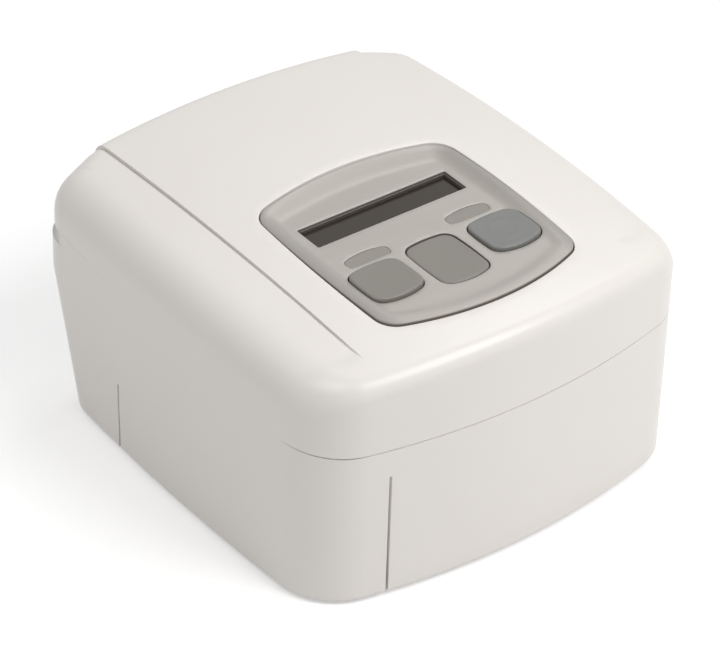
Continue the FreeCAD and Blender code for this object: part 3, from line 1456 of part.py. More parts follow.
def mains_inlet():
    """The two-pole mains inlet, and its pins."""
    front = plate_face() + 1
    back = front - d.mains_depth
    half_w, half_h = d.mains_width / 2, d.mains_height / 2
    block = box("mains_block", (d.mains_x - half_w, back, d.mains_z - half_h),
                (d.mains_x + half_w, front, d.mains_z + half_h))
    lip = 1.6
    rim = box("mains_rim",
              (d.mains_x - half_w - lip, plate_face() - d.port_plate - lip, d.mains_z - half_h - lip),
              (d.mains_x + half_w + lip, plate_face() - d.port_plate, d.mains_z + half_h + lip))
    floor = front - d.mains_socket_depth
    radius, depth = d.mains_socket_radius, d.mains_socket_depth + 1
    spots = [d.mains_x - d.mains_pin_half, d.mains_x + d.mains_pin_half]
    tools = [rod(f"mains_lobe_{i}", (x, floor, d.mains_z), radius, depth, "y")
             for i, x in enumerate(spots)]
    tools.append(box("mains_waist", (spots[0], floor, d.mains_z - radius),
                     (spots[1], front + 1, d.mains_z + radius)))
    pins = [rod(f"mains_pin_{i}", (x, back, d.mains_z), d.mains_pin_radius,
                floor - back + d.mains_pin_length, "y") for i, x in enumerate(spots)]
    tools += pins
    finish("mains_inlet", cut("mains_inlet_shape", fuse("mains_outside", block, rim), *tools))
    copies = [moved(f"mains_pin_copy_{i}", pin, (0, 0, 0)) for i, pin in enumerate(pins)]
    finish("mains_pins", group("mains_pin_group", *copies))


def power_jack():
    """The jack for a direct-current lead, and its pin."""
    front = plate_face() + 1
    at = (d.jack_x, front - d.jack_depth, d.jack_z)
    barrel = rod("jack_barrel", at, d.jack_radius, d.jack_depth, "y")
    floor = d.jack_depth / 4
    bore = rod("jack_hole", (d.jack_x, front - d.jack_depth + floor, d.jack_z), d.jack_bore,
               d.jack_depth, "y")
    pin = rod("jack_pin_rod", at, d.jack_pin, d.jack_depth - 1.5, "y")
    finish("power_jack", cut("power_jack_shape", barrel, bore, pin))
    finish("jack_pin", group("jack_pin_group", moved("jack_pin_copy", pin, (0, 0, 0))))


def data_socket():
    """The socket behind the rubber cap."""
    wide, high = data_block()
    front = plate_face()
    block = box("data_body", (d.data_x - wide / 2, front - d.data_depth, d.data_z - high / 2),
                (d.data_x + wide / 2, front, d.data_z + high / 2))
    mouth = box("data_mouth",
                (d.data_x - d.data_width / 2, front - d.data_bore, d.data_z - d.data_height / 2),
                (d.data_x + d.data_width / 2, front + 1, d.data_z + d.data_height / 2))
    finish("data_socket", cut("data_socket_shape", block, mouth))


def cap_axis():
    """The place of the cap's hinge in plan."""
    x = d.bay_right - d.bay_rim - d.knuckle_radius - 0.3
    y = plate_face() + d.knuckle_radius
    return x, y


def cap_half():
    """Half the height of the cap."""
    return d.data_height / 2 + d.cap_lap


def knuckle_levels():
    """The undersides of the two hinge knuckles, clear of the cap."""
    off = cap_half() + 0.3
    return [d.data_z - off - d.knuckle_height, d.data_z + off]


def data_cap():
    """The cap over the data socket, with the barrel and pins it turns on."""
    x, y = cap_axis()
    half = cap_half()
    back = plate_face() + d.cap_gap
    lid = box("cap_lid", (d.data_x - d.data_width / 2 - d.cap_lap, back, d.data_z - half),
              (x, back + d.cap_thick, d.data_z + half))
    barrel = rod("cap_barrel", (x, y, d.data_z - half), d.knuckle_radius - d.cap_gap, half * 2)
    reach = half + 0.3 + d.knuckle_height
    pin = rod("cap_pin", (x, y, d.data_z - reach), d.cap_pin_radius, reach * 2)
    finish("data_cap", fuse("data_cap_shape", lid, barrel, pin))


def filter_cover():
    """The slotted cover that pulls off with the filter, and its pull tab."""
    body = document.addObject("PartDesign::Body", "filter_cover_body")
    back = plate_face() + d.cover_gap
    half_w = d.filter_width / 2 + d.cover_margin
    half_h = d.filter_height / 2 + d.cover_margin
    outline = sketch_on(body, "cover_outline", "XZ_Plane", -back)
    draw_rectangle(outline, d.filter_x - half_w, d.filter_z - half_h,
                   d.filter_x + half_w, d.filter_z + half_h)
    pad(body, outline, d.cover_thick, reverse=True)
    slots = sketch_on(body, "cover_slots", "XZ_Plane", -back)
    half_slot = half_w - d.slot_margin
    first = d.filter_z - d.slot_pitch * (d.slot_count - 1) / 2
    for i in range(int(float(d.slot_count))):
        level = first + d.slot_pitch * i
        draw_rectangle(slots, d.filter_x - half_slot, level - d.slot_height / 2,
                       d.filter_x + half_slot, level + d.slot_height / 2)
    pocket(body, slots, d.cover_thick + 1)
    top = d.filter_z + half_h
    tab = box("cover_tab", (d.filter_x - d.tab_width / 2, back, top - d.tab_thick),
              (d.filter_x + d.tab_width / 2, back + d.cover_thick + d.tab_reach, top))
    finish("filter_cover", fuse("filter_cover_shape", body, tab))


def filter_foam():
    """The filter, held in the cover."""
    back = plate_face() + d.cover_gap
    half_w = d.filter_width / 2 - d.filter_gap
    half_h = d.filter_height / 2 - d.filter_gap
    foam = box("filter_block", (d.filter_x - half_w, back - d.filter_thick, d.filter_z - half_h),
               (d.filter_x + half_w, back, d.filter_z + half_h))
    finish("filter_foam", group("filter_group", foam))


# ---------------------------------------------------------------- assembly


def build_case():
    """Both case halves and what fastens and carries them."""
    outer = shaped("case_outer", case_form().fuse(raised_form()))
    cavity_form = case_form(float(d.wall))
    floor = Part.makeBox(*([4 * ABOVE + float(d.case_depth)] * 2), float(d.wall) + ABOVE,
                         Vector(-2 * ABOVE - float(d.base_width) / 2, -2 * ABOVE, -ABOVE))
    cavity = shaped("case_cavity", cavity_form.cut(floor))
    above = above_parting("above_parting")
    top_housing(outer, cut("case_shell", outer, cavity), above)
    lower = shaped("case_lower", lower_form())
    bottom_housing(lower, cut("case_lower_shell", lower, cavity), above)
    rubber_feet()
    case_screws()


def build_keypad():
    """The keypad plate and everything in it."""
    keypad_plate()
    rise, sink = float(d.key_rise), float(d.key_sink)
    for node, entry in KEYS.items():
        key(node, entry, -sink if node == "middle_key" else rise)
    for node, entry in INDICATORS.items():
        indicator(node, entry)
    display_lens()
    display_module()
    keypad_mat()


def build_inside():
    """Boards, blower, leads and intake."""
    boards()
    board_screws()
    board_parts()
    ribbon()
    blower_halves()
    bearings()
    motor_plate()
    motor_stator()
    motor_coils()
    rotor()
    blower_mounts()
    inner_hose()
    leads()
    inlet_muffler()


def build_rear():
    """The port plate and the ports."""
    port_plate()
    air_outlet()
    mains_inlet()
    power_jack()
    data_socket()
    data_cap()
    filter_cover()
    filter_foam()


def check(thing):
    """Stops the build if an object failed or a finished piece is not a sound solid."""
    if any(state in ("Invalid", "Error") for state in thing.State):
        raise RuntimeError(f"{thing.Name} failed: {thing.State}")


def check_part(node, thing):
    """Stops the build if a finished piece is not made of sound solids."""
    shape = thing.Shape
    if shape.isNull() or not shape.isValid() or not shape.Solids:
        raise RuntimeError(f"{node} is not a sound solid")


def main():
    """Builds the assembly, checks every object and writes each piece."""
    build_case()
    build_keypad()
    build_inside()
    build_rear()
    document.recompute()
    for thing in document.Objects:
        check(thing)
    for node, thing in parts.items():
        check_part(node, thing)
    os.makedirs("parts", exist_ok=True)
    for node, thing in parts.items():
        thing.Shape.exportStep(f"parts/{node}.step")
        print(node, len(thing.Shape.Solids), round(thing.Shape.Volume))


main()
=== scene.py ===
"""A bedside airway-pressure machine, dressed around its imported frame."""

import json
import math

import bmesh
import bpy
from mathutils import Matrix, Vector, kdtree
from mathutils.geometry import delaunay_2d_cdt


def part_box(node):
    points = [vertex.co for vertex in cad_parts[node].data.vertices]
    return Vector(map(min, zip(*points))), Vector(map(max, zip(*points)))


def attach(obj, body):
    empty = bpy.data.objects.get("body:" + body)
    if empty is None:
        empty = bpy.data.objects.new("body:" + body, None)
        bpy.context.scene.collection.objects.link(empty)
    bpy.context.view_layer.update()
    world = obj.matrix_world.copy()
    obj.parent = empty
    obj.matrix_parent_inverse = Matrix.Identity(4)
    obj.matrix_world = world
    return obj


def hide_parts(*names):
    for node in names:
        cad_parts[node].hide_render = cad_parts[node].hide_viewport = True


bl_info = {
    "name": "Bedside Airway Machine",
    "version": (1, 0, 0),
    "blender": (4, 5, 0),
    "location": "View3D > Sidebar > Airway Machine",
    "description": "Builds the visible pieces of a bedside airway-pressure machine",
    "category": "Add Mesh",
}

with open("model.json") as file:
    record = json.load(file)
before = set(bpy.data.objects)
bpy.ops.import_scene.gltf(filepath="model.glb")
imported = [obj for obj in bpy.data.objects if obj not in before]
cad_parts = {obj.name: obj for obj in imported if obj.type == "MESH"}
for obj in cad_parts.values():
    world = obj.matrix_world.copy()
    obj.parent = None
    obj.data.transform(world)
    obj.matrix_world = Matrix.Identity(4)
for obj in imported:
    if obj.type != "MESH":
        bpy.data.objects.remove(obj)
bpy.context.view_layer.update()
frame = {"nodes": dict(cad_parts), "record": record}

# Lengths are millimetres in the layout of the part: x to the right seen from the
# front, y back from the middle of the front wall, z up from the case's underside.
MM = 1000.0  # millimetres in a metre
SAME_PLACE = 2e-6  # corners closer than this, in metres, are one
HALF_DEPTH = 88.95  # from the front wall's middle back to the frame's origin
FOOT_HEIGHT = 2.0
STEP_LINE = 56.0  # where the raised middle of the top ends on each side
STEP_WIDE = 0.15  # width of the step's steep flank
GROOVE_WIDE = 0.5  # the narrow groove at the step's foot
WALL = 2.5
LEDGE_TOP = 88.0
PARTING_FRONT, PARTING_REAR = 59.2, 71.5
WINDOW_Y = 81.5
CASE_DEPTH = 176.3


def placed(point):
    """A layout point in metres of the frame."""
    x, y, z = point
    return Vector((x, y - HALF_DEPTH, z + FOOT_HEIGHT)) / MM


def smooth(t):
    """An even rise from 0 to 1."""
    t = min(1.0, max(0.0, t))
    return t * t * (3 - 2 * t)


# ---------------------------------------------------------------- outlines

CROWDING = 0.35  # the share of a step that stays free beside a fixed point


def circles_meet(first, first_radius, second, second_radius):
    """Where two circles meet, to the left of the line between them."""
    gap = second - first
    along = (first_radius**2 - second_radius**2 + gap.length_squared) / (2 * gap.length)
    off = math.sqrt(first_radius**2 - along**2)
    foot = first + gap * (along / gap.length)
    return foot + Vector((-gap.y, gap.x)) * (off / gap.length)


def bearing(centre, target):
    """The direction from one point to another."""
    return math.atan2(target.y - centre.y, target.x - centre.x)


def bowed_arcs(width, depth, bows, corners, front=0.0):
    """Centre, radius, start and end of the arcs from the middle of the front to the rear's."""
    front_bow, rear_bow, side_bow = bows
    chords = ((front_bow, width), (side_bow, depth), (rear_bow, width))
    fore, flank, aft = ((bow**2 + chord**2 / 4) / (2 * bow) for bow, chord in chords)
    near, far = corners
    nose = Vector((0, front + fore))
    side = Vector((width / 2 - flank, front + depth / 2))
    tail = Vector((0, front + depth - aft))
    low = circles_meet(nose, fore - near, side, flank - near)
    high = circles_meet(side, flank - far, tail, aft - far)
    turns = [bearing(nose, low), bearing(side, low), bearing(side, high), bearing(tail, high)]
    return [
        (nose, fore, -math.pi / 2, turns[0]),
        (low, near, turns[0], turns[1]),
        (side, flank, turns[1], turns[2]),
        (high, far, turns[2], turns[3]),
        (tail, aft, turns[3], math.pi / 2),
    ]


def nearest_arc(arcs, spot):
    """The number of the arc of a bowed outline that a point lies beside."""
    for corner in (1, 3):
        centre, _, start, end = arcs[corner]
        if start <= bearing(centre, spot) <= end:
            return corner
    return min((0, 2, 4), key=lambda i: arcs[i][1] - (spot - arcs[i][0]).length)


def inset_at(arcs, x, y):
    """How far inside a bowed outline a point lies."""
    spot = Vector((abs(x), y))
    centre, radius = arcs[nearest_arc(arcs, spot)][:2]
    return radius - (spot - centre).length


def bowed_outline(width, depth, bows, corners, front=0.0, step=1.6, fixed=(), middle=(0, 0)):
    """Points with outward normals around four bowed sides and four corner arcs.

    The rear side has a point at each fixed x, and none of its own crowding one.
    """
    arcs = bowed_arcs(width, depth, bows, corners, front)
    tail = arcs[4][0]
    mirrored = [(Vector((-c.x, c.y)), r, math.pi - b, math.pi - a)
                for c, r, a, b in reversed(arcs[1:4])]
    nose, aft = arcs[0], arcs[4]
    around = [(nose[0], nose[1], -math.pi - nose[3], nose[3]), *arcs[1:4],
              (aft[0], aft[1], aft[2], math.pi - aft[2]), *mirrored]
    points = []
    for centre, radius, start, end in around:
        count = max(3, math.ceil(radius * (end - start) / step))
        angles = [start + (end - start) * i / count for i in range(count)]
        if centre is tail:
            for x in fixed:
                exact = math.acos((x - centre.x) / radius)
                angles = [a for a in angles if abs(a - exact) * radius > step * CROWDING]
            angles = sorted(angles + [math.acos((x - centre.x) / radius) for x in fixed])
        for angle in angles:
            nx, ny = math.cos(angle), math.sin(angle)
            x, y = centre.x + radius * nx + middle[0], centre.y + radius * ny + middle[1]
            points.append((x, y, nx, ny))
    return points


def round_outline(x, y, radius, count=48):
    """Points with outward normals around a circle."""
    turns = [2 * math.pi * i / count for i in range(count)]
    return [(x + radius * math.cos(t), y + radius * math.sin(t), math.cos(t), math.sin(t))
            for t in turns]


def ring(outline, inset, level):
    """The outline moved inwards, at a height given by a number or a function."""
    points = []
    for x, y, nx, ny in outline:
        px, py = x - nx * inset, y - ny * inset
        points.append((px, py, level(px, py) if callable(level) else level))
    return points


# ---------------------------------------------------------------- meshes


class Shell:
    """Points and faces of a closed piece, in layout millimetres."""

    def __init__(self):
        self.points, self.faces, self.marks = [], [], []

    def add(self, points):
        """Stores points and returns their numbers."""
        start = len(self.points)
        self.points.extend(points)
        return list(range(start, len(self.points)))

    def face(self, corners, mark=0):
        """Stores one face with the number of its material."""
        self.faces.append(tuple(corners))
        self.marks.append(mark)

    def strip(self, first, second, mark=0):
        """Joins two rings with equally many points."""
        for i in range(len(first)):
            j = (i + 1) % len(first)
            self.face((first[i], first[j], second[j], second[i]), mark)
        return second

    def rings(self, rings, mark=0):
        """Joins rings in a row and returns the numbers of the first and the last."""
        numbers = [self.add(points) for points in rings]
        for first, second in zip(numbers, numbers[1:]):
            self.strip(first, second, mark)
        return numbers[0], numbers[-1]

    def fill(self, outer, holes, level, spacing, lines=(), extra=(), up=True, mark=0):
        """Fills the space between loops with triangles that follow a height."""
        ids, edges = [], []
        for loop in [outer, *holes]:
            start = len(ids)
            ids += loop
            edges += [(start + i, start + (i + 1) % len(loop)) for i in range(len(loop))]
        flat = [Vector(self.points[i][:2]) for i in ids]
        for line in lines:
            start = len(flat)
            flat += [Vector(point) for point in line]
            edges += [(start + i, start + i + 1) for i in range(len(line) - 1)]
        flat += spread(flat, spacing, extra)
        corners, _, triangles, origins, _, _ = delaunay_2d_cdt(flat, edges, [], 0, 1e-6)
        loops = [[self.points[i][:2] for i in loop] for loop in [outer, *holes]]
        numbers = {}
        for triangle in triangles:
            middle = sum((corners[i] for i in triangle), Vector((0, 0))) / 3
            if not within(loops[0], middle) or any(within(loop, middle) for loop in loops[1:]):
                continue
            found = []
            for i in triangle:
                if i not in numbers:
                    known = [k for k in origins[i] if k < len(ids)]
                    spot = corners[i]
                    numbers[i] = ids[known[0]] if known else self.add(
                        [(spot.x, spot.y, level(spot.x, spot.y) if callable(level) else level)]
                    )[0]
                found.append(numbers[i])
            self.face(found if up else found[::-1], mark)

    def lid(self, loop, level, spacing=4.0, up=True, mark=0):
        """Closes one loop."""
        self.fill(loop, [], level, spacing, up=up, mark=mark)

    def capped(self, rings):
        """Joins rings in a row and closes each end with one face."""
        first, last = self.rings(rings)
        self.face(first[::-1])
        self.face(last)

    def post(self, x, y, radius, low, high, edge=0.3):
        """A closed upright rod with softened rims."""
        plan = round_outline(x, y, radius, 32)
        self.capped([ring(plan, edge, low), ring(plan, 0, low + edge),
                     ring(plan, 0, high - edge), ring(plan, edge, high)])

    def piece(self, name, body, nodes, slot, materials, sharp=32.0):
        """Makes the mesh, hands it to its body and says which nodes it stands for."""
        mesh = bpy.data.meshes.new(name)
        mesh.from_pydata([placed(point) for point in self.points], [], self.faces)
        for polygon, mark in zip(mesh.polygons, self.marks):
            polygon.material_index = mark
        return handed_in(mesh, name, body, nodes, materials, sharp)


def handed_in(mesh, name, body, nodes, materials, sharp=32.0, merge=SAME_PLACE, turn=True):
    """Finishes a mesh as a piece that rides on its body."""
    built = bmesh.new()
    built.from_mesh(mesh)
    bmesh.ops.remove_doubles(built, verts=built.verts, dist=merge)
    if turn:
        bmesh.ops.recalc_face_normals(built, faces=built.faces)
    built.to_mesh(mesh)
    built.free()
    for material in materials:
        mesh.materials.append(material)
    mesh.shade_smooth()
    mesh.set_sharp_from_angle(angle=math.radians(sharp))
    thing = bpy.data.objects.new(name, mesh)
    bpy.context.scene.collection.objects.link(thing)
    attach(thing, body)
    if nodes:
        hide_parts(*nodes)
    return thing


def within(loop, point):
    """Whether a point lies inside a loop."""
    odd = False
    x, y = point
    for (ax, ay), (bx, by) in zip(loop, loop[1:] + loop[:1]):
        if (ay > y) != (by > y) and x < ax + (bx - ax) * (y - ay) / (by - ay):
            odd = not odd
    return odd


ROW_PITCH = 0.87  # rows of a staggered grid, as a share of its spacing
KEEP_CLEAR = 0.55  # the same for the room around points already taken


def spread(taken, spacing, extra=()):
    """A staggered grid of points that keeps clear of those already taken.

    Each extra patch is a low corner, a high corner and a finer spacing.
    """
    tree = kdtree.KDTree(len(taken))
    for i, point in enumerate(taken):
        tree.insert(point.to_3d(), i)
    tree.balance()
    low = [min(p[k] for p in taken) for k in (0, 1)]
    high = [max(p[k] for p in taken) for k in (0, 1)]
    seeds, row = [], 0
    patches = [(low, high, spacing), *extra]
    for number, (start, end, pitch) in enumerate(patches):
        y = start[1] + pitch / 2
        while y < end[1]:
            x = start[0] + pitch * (0.5 if row % 2 else 1.0)
            while x < end[0]:
                finer = any(a[0] <= x <= b[0] and a[1] <= y <= b[1] and c < pitch
                            for a, b, c in patches[number + 1:])
                if not finer and tree.find(Vector((x, y, 0)))[2] > pitch * KEEP_CLEAR:
                    seeds.append(Vector((x, y)))
                x += pitch
            y += pitch * ROW_PITCH
            row += 1
    return seeds


CORNER_ANGLE = math.radians(40)  # edges that bend more than this are corners


def dressed(node, body, materials, edge=0.3, sharp=32.0, segments=2, pick=None,
            flatten=0.6):
    """A copy of a node with its corners softened, which stands for it.

    The pick, if given, says which of the corners are softened; flatten is the
    angle in degrees under which neighbouring faces are merged first.
    """
    mesh = frame["nodes"][node].data.copy()
    mesh.name = f"{node}_dressed"
    mesh.materials.clear()
    built = bmesh.new()
    built.from_mesh(mesh)
    bmesh.ops.remove_doubles(built, verts=built.verts, dist=SAME_PLACE)
    if flatten:
        bmesh.ops.dissolve_limit(built, angle_limit=math.radians(flatten), verts=built.verts,
                                 edges=built.edges)
    edges = [e for e in built.edges if len(e.link_faces) == 2
             and e.calc_face_angle(0) > CORNER_ANGLE and (pick is None or pick(e))]
    bmesh.ops.bevel(built, geom=edges, offset=edge / MM, offset_type="OFFSET",
                    segments=segments, profile=0.5, affect="EDGES", clamp_overlap=True)
    bmesh.ops.triangulate(built, faces=[f for f in built.faces if len(f.verts) > 4])
    built.to_mesh(mesh)
    built.free()
    mesh.polygons.foreach_set("material_index", [0] * len(mesh.polygons))
    return handed_in(mesh, f"{node}_finish", body, [node], materials, sharp,
                     merge=1e-7, turn=False)


# ---------------------------------------------------------------- materials


def linear(code):
    """An sRGB hex colour as linear red, green, blue and alpha."""
    values = [int(code[i:i + 2], 16) / 255 for i in (1, 3, 5)]
    return (*[v / 12.92 if v <= 0.04045 else ((v + 0.055) / 1.055) ** 2.4 for v in values], 1.0)


def rgba(colour):
    """A hex code, or a colour from the settings, as linear red, green, blue and alpha."""
    return linear(colour) if isinstance(colour, str) else (*colour, 1.0)


def add(tree, kind, settings=None, links=None):
    """Adds a node with its settings and the links into it."""
    made = tree.nodes.new(kind)
    for key, value in (settings or {}).items():
        if isinstance(key, int) or key in made.inputs.keys():
            made.inputs[key].default_value = value
        else:
            setattr(made, key, value)
    for key, source in (links or {}).items():
        tree.links.new(source, made.inputs[key])
    return made


MATERIALS = {}


def surface(name, colour, other, rough, grain, relief, patch, stretch=(1, 1, 1), **fixed):
    """A finish from two colours that drift into each other and a fine moulded grain.

    The grain and the patches of colour are sized in millimetres, and relief is the
    strength of the bump. A real grain under about 0.25 mm wouldn't show, so the
    finest are drawn that coarse or coarser. Whatever else is given goes straight
    to the shader.
    """
    if name in MATERIALS:
        return MATERIALS[name]
    made = bpy.data.materials.new(name)
    made.use_nodes = True
    tree = made.node_tree
    tree.nodes.clear()
    place = add(tree, "ShaderNodeTexCoord").outputs["Object"]
    spread_out = add(tree, "ShaderNodeMapping", {"Scale": stretch}, {"Vector": place}).outputs[0]
    drift = add(tree, "ShaderNodeTexNoise", {"Scale": MM / patch, "Detail": 3.0},
                {"Vector": spread_out}).outputs["Fac"]
    fine = add(tree, "ShaderNodeTexNoise", {"Scale": MM / grain, "Detail": 2.0},
               {"Vector": spread_out}).outputs["Fac"]
    tint = add(tree, "ShaderNodeMix", {"data_type": "RGBA"}, {"Factor": drift})
    tint.inputs[6].default_value, tint.inputs[7].default_value = rgba(colour), rgba(other)
    gloss = add(tree, "ShaderNodeMapRange", {"From Min": 0.3, "From Max": 0.7,
                                             "To Min": rough[0], "To Max": rough[1]},
                {"Value": drift}).outputs[0]
    bump = add(tree, "ShaderNodeBump", {"Strength": relief, "Distance": grain / 4 / MM},
               {"Height": fine}).outputs[0]
    shader = add(tree, "ShaderNodeBsdfPrincipled", fixed,
                 {"Base Color": tint.outputs[2], "Roughness": gloss, "Normal": bump})
    add(tree, "ShaderNodeOutputMaterial", None, {"Surface": shader.outputs[0]})
    MATERIALS[name] = made
    return made


def paint_side_shade(material, start, end, code):
    """Paints shade into a finish towards both sides of the object, between two distances in mm."""
    tree = material.node_tree
    shader = next(n for n in tree.nodes if n.type == "BSDF_PRINCIPLED")
    colour = shader.inputs["Base Color"].links[0].from_socket
    place = add(tree, "ShaderNodeTexCoord").outputs["Object"]
    across = add(tree, "ShaderNodeSeparateXYZ", None, {"Vector": place}).outputs["X"]
    away = add(tree, "ShaderNodeMath", {"operation": "ABSOLUTE"}, {0: across}).outputs[0]
    share = add(tree, "ShaderNodeMapRange", {"From Min": start / MM, "From Max": end / MM},
                {"Value": away}).outputs[0]
    mixed = add(tree, "ShaderNodeMix", {"data_type": "RGBA"}, {"Factor": share})
    mixed.inputs[7].default_value = linear(code)
    tree.links.new(colour, mixed.inputs[6])
    tree.links.new(mixed.outputs[2], shader.inputs["Base Color"])
    return material


def keypad_silver(tones):
    """The keypad plate's finish, with painted shade from 34.5 mm to 40.5 mm beside the middle,
    where its sideways slopes are drawn darker.
    """
    name = "coated_polycarbonate_silver_painted_shade"
    if name in MATERIALS:
        return MATERIALS[name]
    made = surface(name, tones.plate_colour, tones.plate_drift, rough=(0.34, 0.42), grain=0.6,
                   relief=0.06, patch=9.0, stretch=(0.35, 2.2, 1.0), IOR=1.58, Metallic=0.05,
                   **{"Coat Weight": 0.15, "Coat Roughness": 0.2})
    # The colour that the sides darken to: painted shade for the plate's sideways slopes.
    return paint_side_shade(made, 34.5, 40.5, "#8F8A84")


def finishes():
    """Every material of the object, by the record's slot that it belongs to."""
    tones = bpy.context.scene.airway_finish
    return {
        # Spark-textured ABS: warm off-white, satin, with a fine even grain. The real
        # grain of 0.15 mm is drawn 0.5 mm wide, so that it shows.
        "case_white": surface("moulded_abs_offwhite", tones.case_colour, tones.case_drift,
                              rough=(0.28, 0.34), grain=0.5, relief=0.10, patch=40.0, IOR=1.50),
        # Silver-tinted polycarbonate under a thin clear coat: satin, faintly streaked, with painted
        # shade towards both sides.
        "keypad_silver": keypad_silver(tones),
        # The plate's outer side and the walls of its holes: dark grey-brown, painted shade for the
        # gaps around the plate, its keys, lamps and window.
        "keypad_edge": surface("plate_walls_painted_shade", "#5F5750", "#6A625A", rough=(0.4, 0.5),
                               grain=0.5, relief=0.06, patch=6.0, IOR=1.58),
        # Painted ABS key cap: mid grey, satin.
        "key_grey": surface("painted_abs_grey", tones.key_colour, tones.key_drift,
                            rough=(0.34, 0.44), grain=0.4, relief=0.10, patch=8.0, IOR=1.5),
        # The same paint, a shade bluer.
        "key_blue": surface("painted_abs_bluegrey", tones.right_key_colour, tones.right_key_drift,
                            rough=(0.30, 0.40), grain=0.4, relief=0.10, patch=8.0, IOR=1.5),
        # Diffusing polycarbonate over the lamps: the keys' grey, a shade lighter.
        "lamp_grey": surface("diffusing_polycarbonate", "#827D76", "#87827B", rough=(0.3, 0.4),
                             grain=0.4, relief=0.06, patch=8.0, IOR=1.58),
        # Smoke-tinted acrylic: dark, glassy, with a few faint flow lines.
        "lens_smoke": surface("cast_acrylic_smoke", "#281F14", "#2D2418", rough=(0.12, 0.2),
                              grain=1.2, relief=0.03, patch=16.0, stretch=(0.3, 2.0, 1.0),
                              IOR=1.49, **{"Specular IOR Level": 0.4}),
        # The frame inside the window: black-brown polycarbonate with a soft sheen.
        "lens_frame": surface("moulded_polycarbonate_umber", "#4C463F", "#544E47",
                              rough=(0.3, 0.42), grain=0.5, relief=0.08, patch=10.0, IOR=1.58),
        # Liquid-crystal glass with its light off: grey-green and smooth.
        "display_green": surface("display_glass_greygreen", "#6E725F", "#747865",
                                 rough=(0.08, 0.14), grain=1.0, relief=0.02, patch=20.0,
                                 IOR=1.52),
        # Compression-moulded chloroprene rubber: near black and dull.
        "rubber_dark": surface("moulded_chloroprene", "#2B2B2C", "#333334", rough=(0.62, 0.75),
                               grain=0.6, relief=0.2, patch=6.0, IOR=1.52),
        # Silicone rubber: milky grey with a dry sheen.
        "silicone_grey": surface("moulded_silicone_grey", "#A3A39F", "#ACACA8", rough=(0.48, 0.6),
                                 grain=0.7, relief=0.12, patch=8.0, IOR=1.41),
        # Mineral-filled polypropylene: mid grey, eggshell.
        "port_grey": surface("filled_polypropylene_grey", "#77777A", "#7E7E80",
                             rough=(0.42, 0.52), grain=0.5, relief=0.15, patch=12.0, IOR=1.49),
        # Glass-filled nylon: black with a faint fibrous bloom.
        "socket_black": surface("glass_filled_nylon_black", "#161617", "#1F1F20",
                                rough=(0.45, 0.6), grain=0.35, relief=0.18, patch=5.0, IOR=1.53),
        # Impact polystyrene: cool light grey and smooth.
        "blower_grey": surface("moulded_polystyrene_grey", "#ABADB0", "#B4B6B8",
                               rough=(0.36, 0.46), grain=0.6, relief=0.12, patch=15.0, IOR=1.59),
        # Open-cell polyurethane foam: charcoal, dull, with cells 0.8 mm apart.
        "foam_dark": surface("open_cell_foam", "#2C2C2E", "#3D3D3F", rough=(0.85, 0.95),
                             grain=0.8, relief=1.0, patch=3.0),
        # Glass-epoxy board under green solder resist.
        "board_green": surface("solder_resist_green", "#10422A", "#175235", rough=(0.28, 0.4),
                               grain=1.5, relief=0.15, patch=2.2, stretch=(1.0, 0.25, 1.0),
                               IOR=1.55),
        # Transfer-moulded epoxy: black and slightly gritty.
        "chip_black": surface("moulded_epoxy_black", "#131314", "#1C1C1D", rough=(0.5, 0.65),
                              grain=0.25, relief=0.2, patch=4.0, IOR=1.55),
        # Extruded PVC sleeve: black with a soft sheen.
        "cable_black": surface("extruded_pvc_black", "#171717", "#202020", rough=(0.4, 0.5),
                               grain=0.8, relief=0.1, patch=6.0, IOR=1.53),
        # Laminated polyester ribbon: chalky white.
        "ribbon_white": surface("laminated_polyester_white", "#D8D8D4", "#E0E0DC",
                                rough=(0.4, 0.5), grain=1.27, relief=0.2, patch=9.0,
                                stretch=(1.0, 0.1, 0.1), IOR=1.6),
        # Zinc-plated steel: grey with a directional satin.
        "steel": surface("zinc_plated_steel", "#A8A8AA", "#B8B8BA", rough=(0.26, 0.38), grain=0.3,
                         relief=0.1, patch=3.0, Metallic=1.0),
        # Bright nickel plate: warm and mirror-like.
        "nickel": surface("bright_nickel_plate", "#C2BFB5", "#CCC9C0", rough=(0.1, 0.2),
                          grain=0.3, relief=0.04, patch=4.0, Metallic=1.0),
        # Enamelled copper wire: orange-brown under clear varnish.
        "copper": surface("enamelled_copper", "#B4672F", "#C4763A", rough=(0.22, 0.34), grain=0.5,
                          relief=0.3, patch=3.0, stretch=(1.0, 1.0, 4.0), Metallic=1.0),
        # Extruded aluminium: pale grey with die lines.
        "aluminium": surface("extruded_aluminium", "#C4C5C7", "#CFD0D1", rough=(0.3, 0.42),
                             grain=0.4, relief=0.15, patch=5.0, stretch=(1.0, 1.0, 0.08),
                             Metallic=1.0),
        # Bonded ferrite: dark grey and dull.
        "magnet_grey": surface("bonded_ferrite", "#3A3A3C", "#444446", rough=(0.55, 0.7),
                               grain=0.5, relief=0.25, patch=4.0, Metallic=0.3),
    }


# ---------------------------------------------------------------- settings


def length(label, about, default, low, high):
    """A length that a user would change, given in millimetres and kept in metres."""
    return bpy.props.FloatProperty(name=label, description=about, default=default / MM,
                                   min=low / MM, max=high / MM, unit="LENGTH",
                                   subtype="DISTANCE", precision=4)


def tone(label, about, code):
    """A colour that a user would change."""
    return bpy.props.FloatVectorProperty(name=label, description=about, subtype="COLOR",
                                         size=3, min=0.0, max=1.0, default=linear(code)[:3])


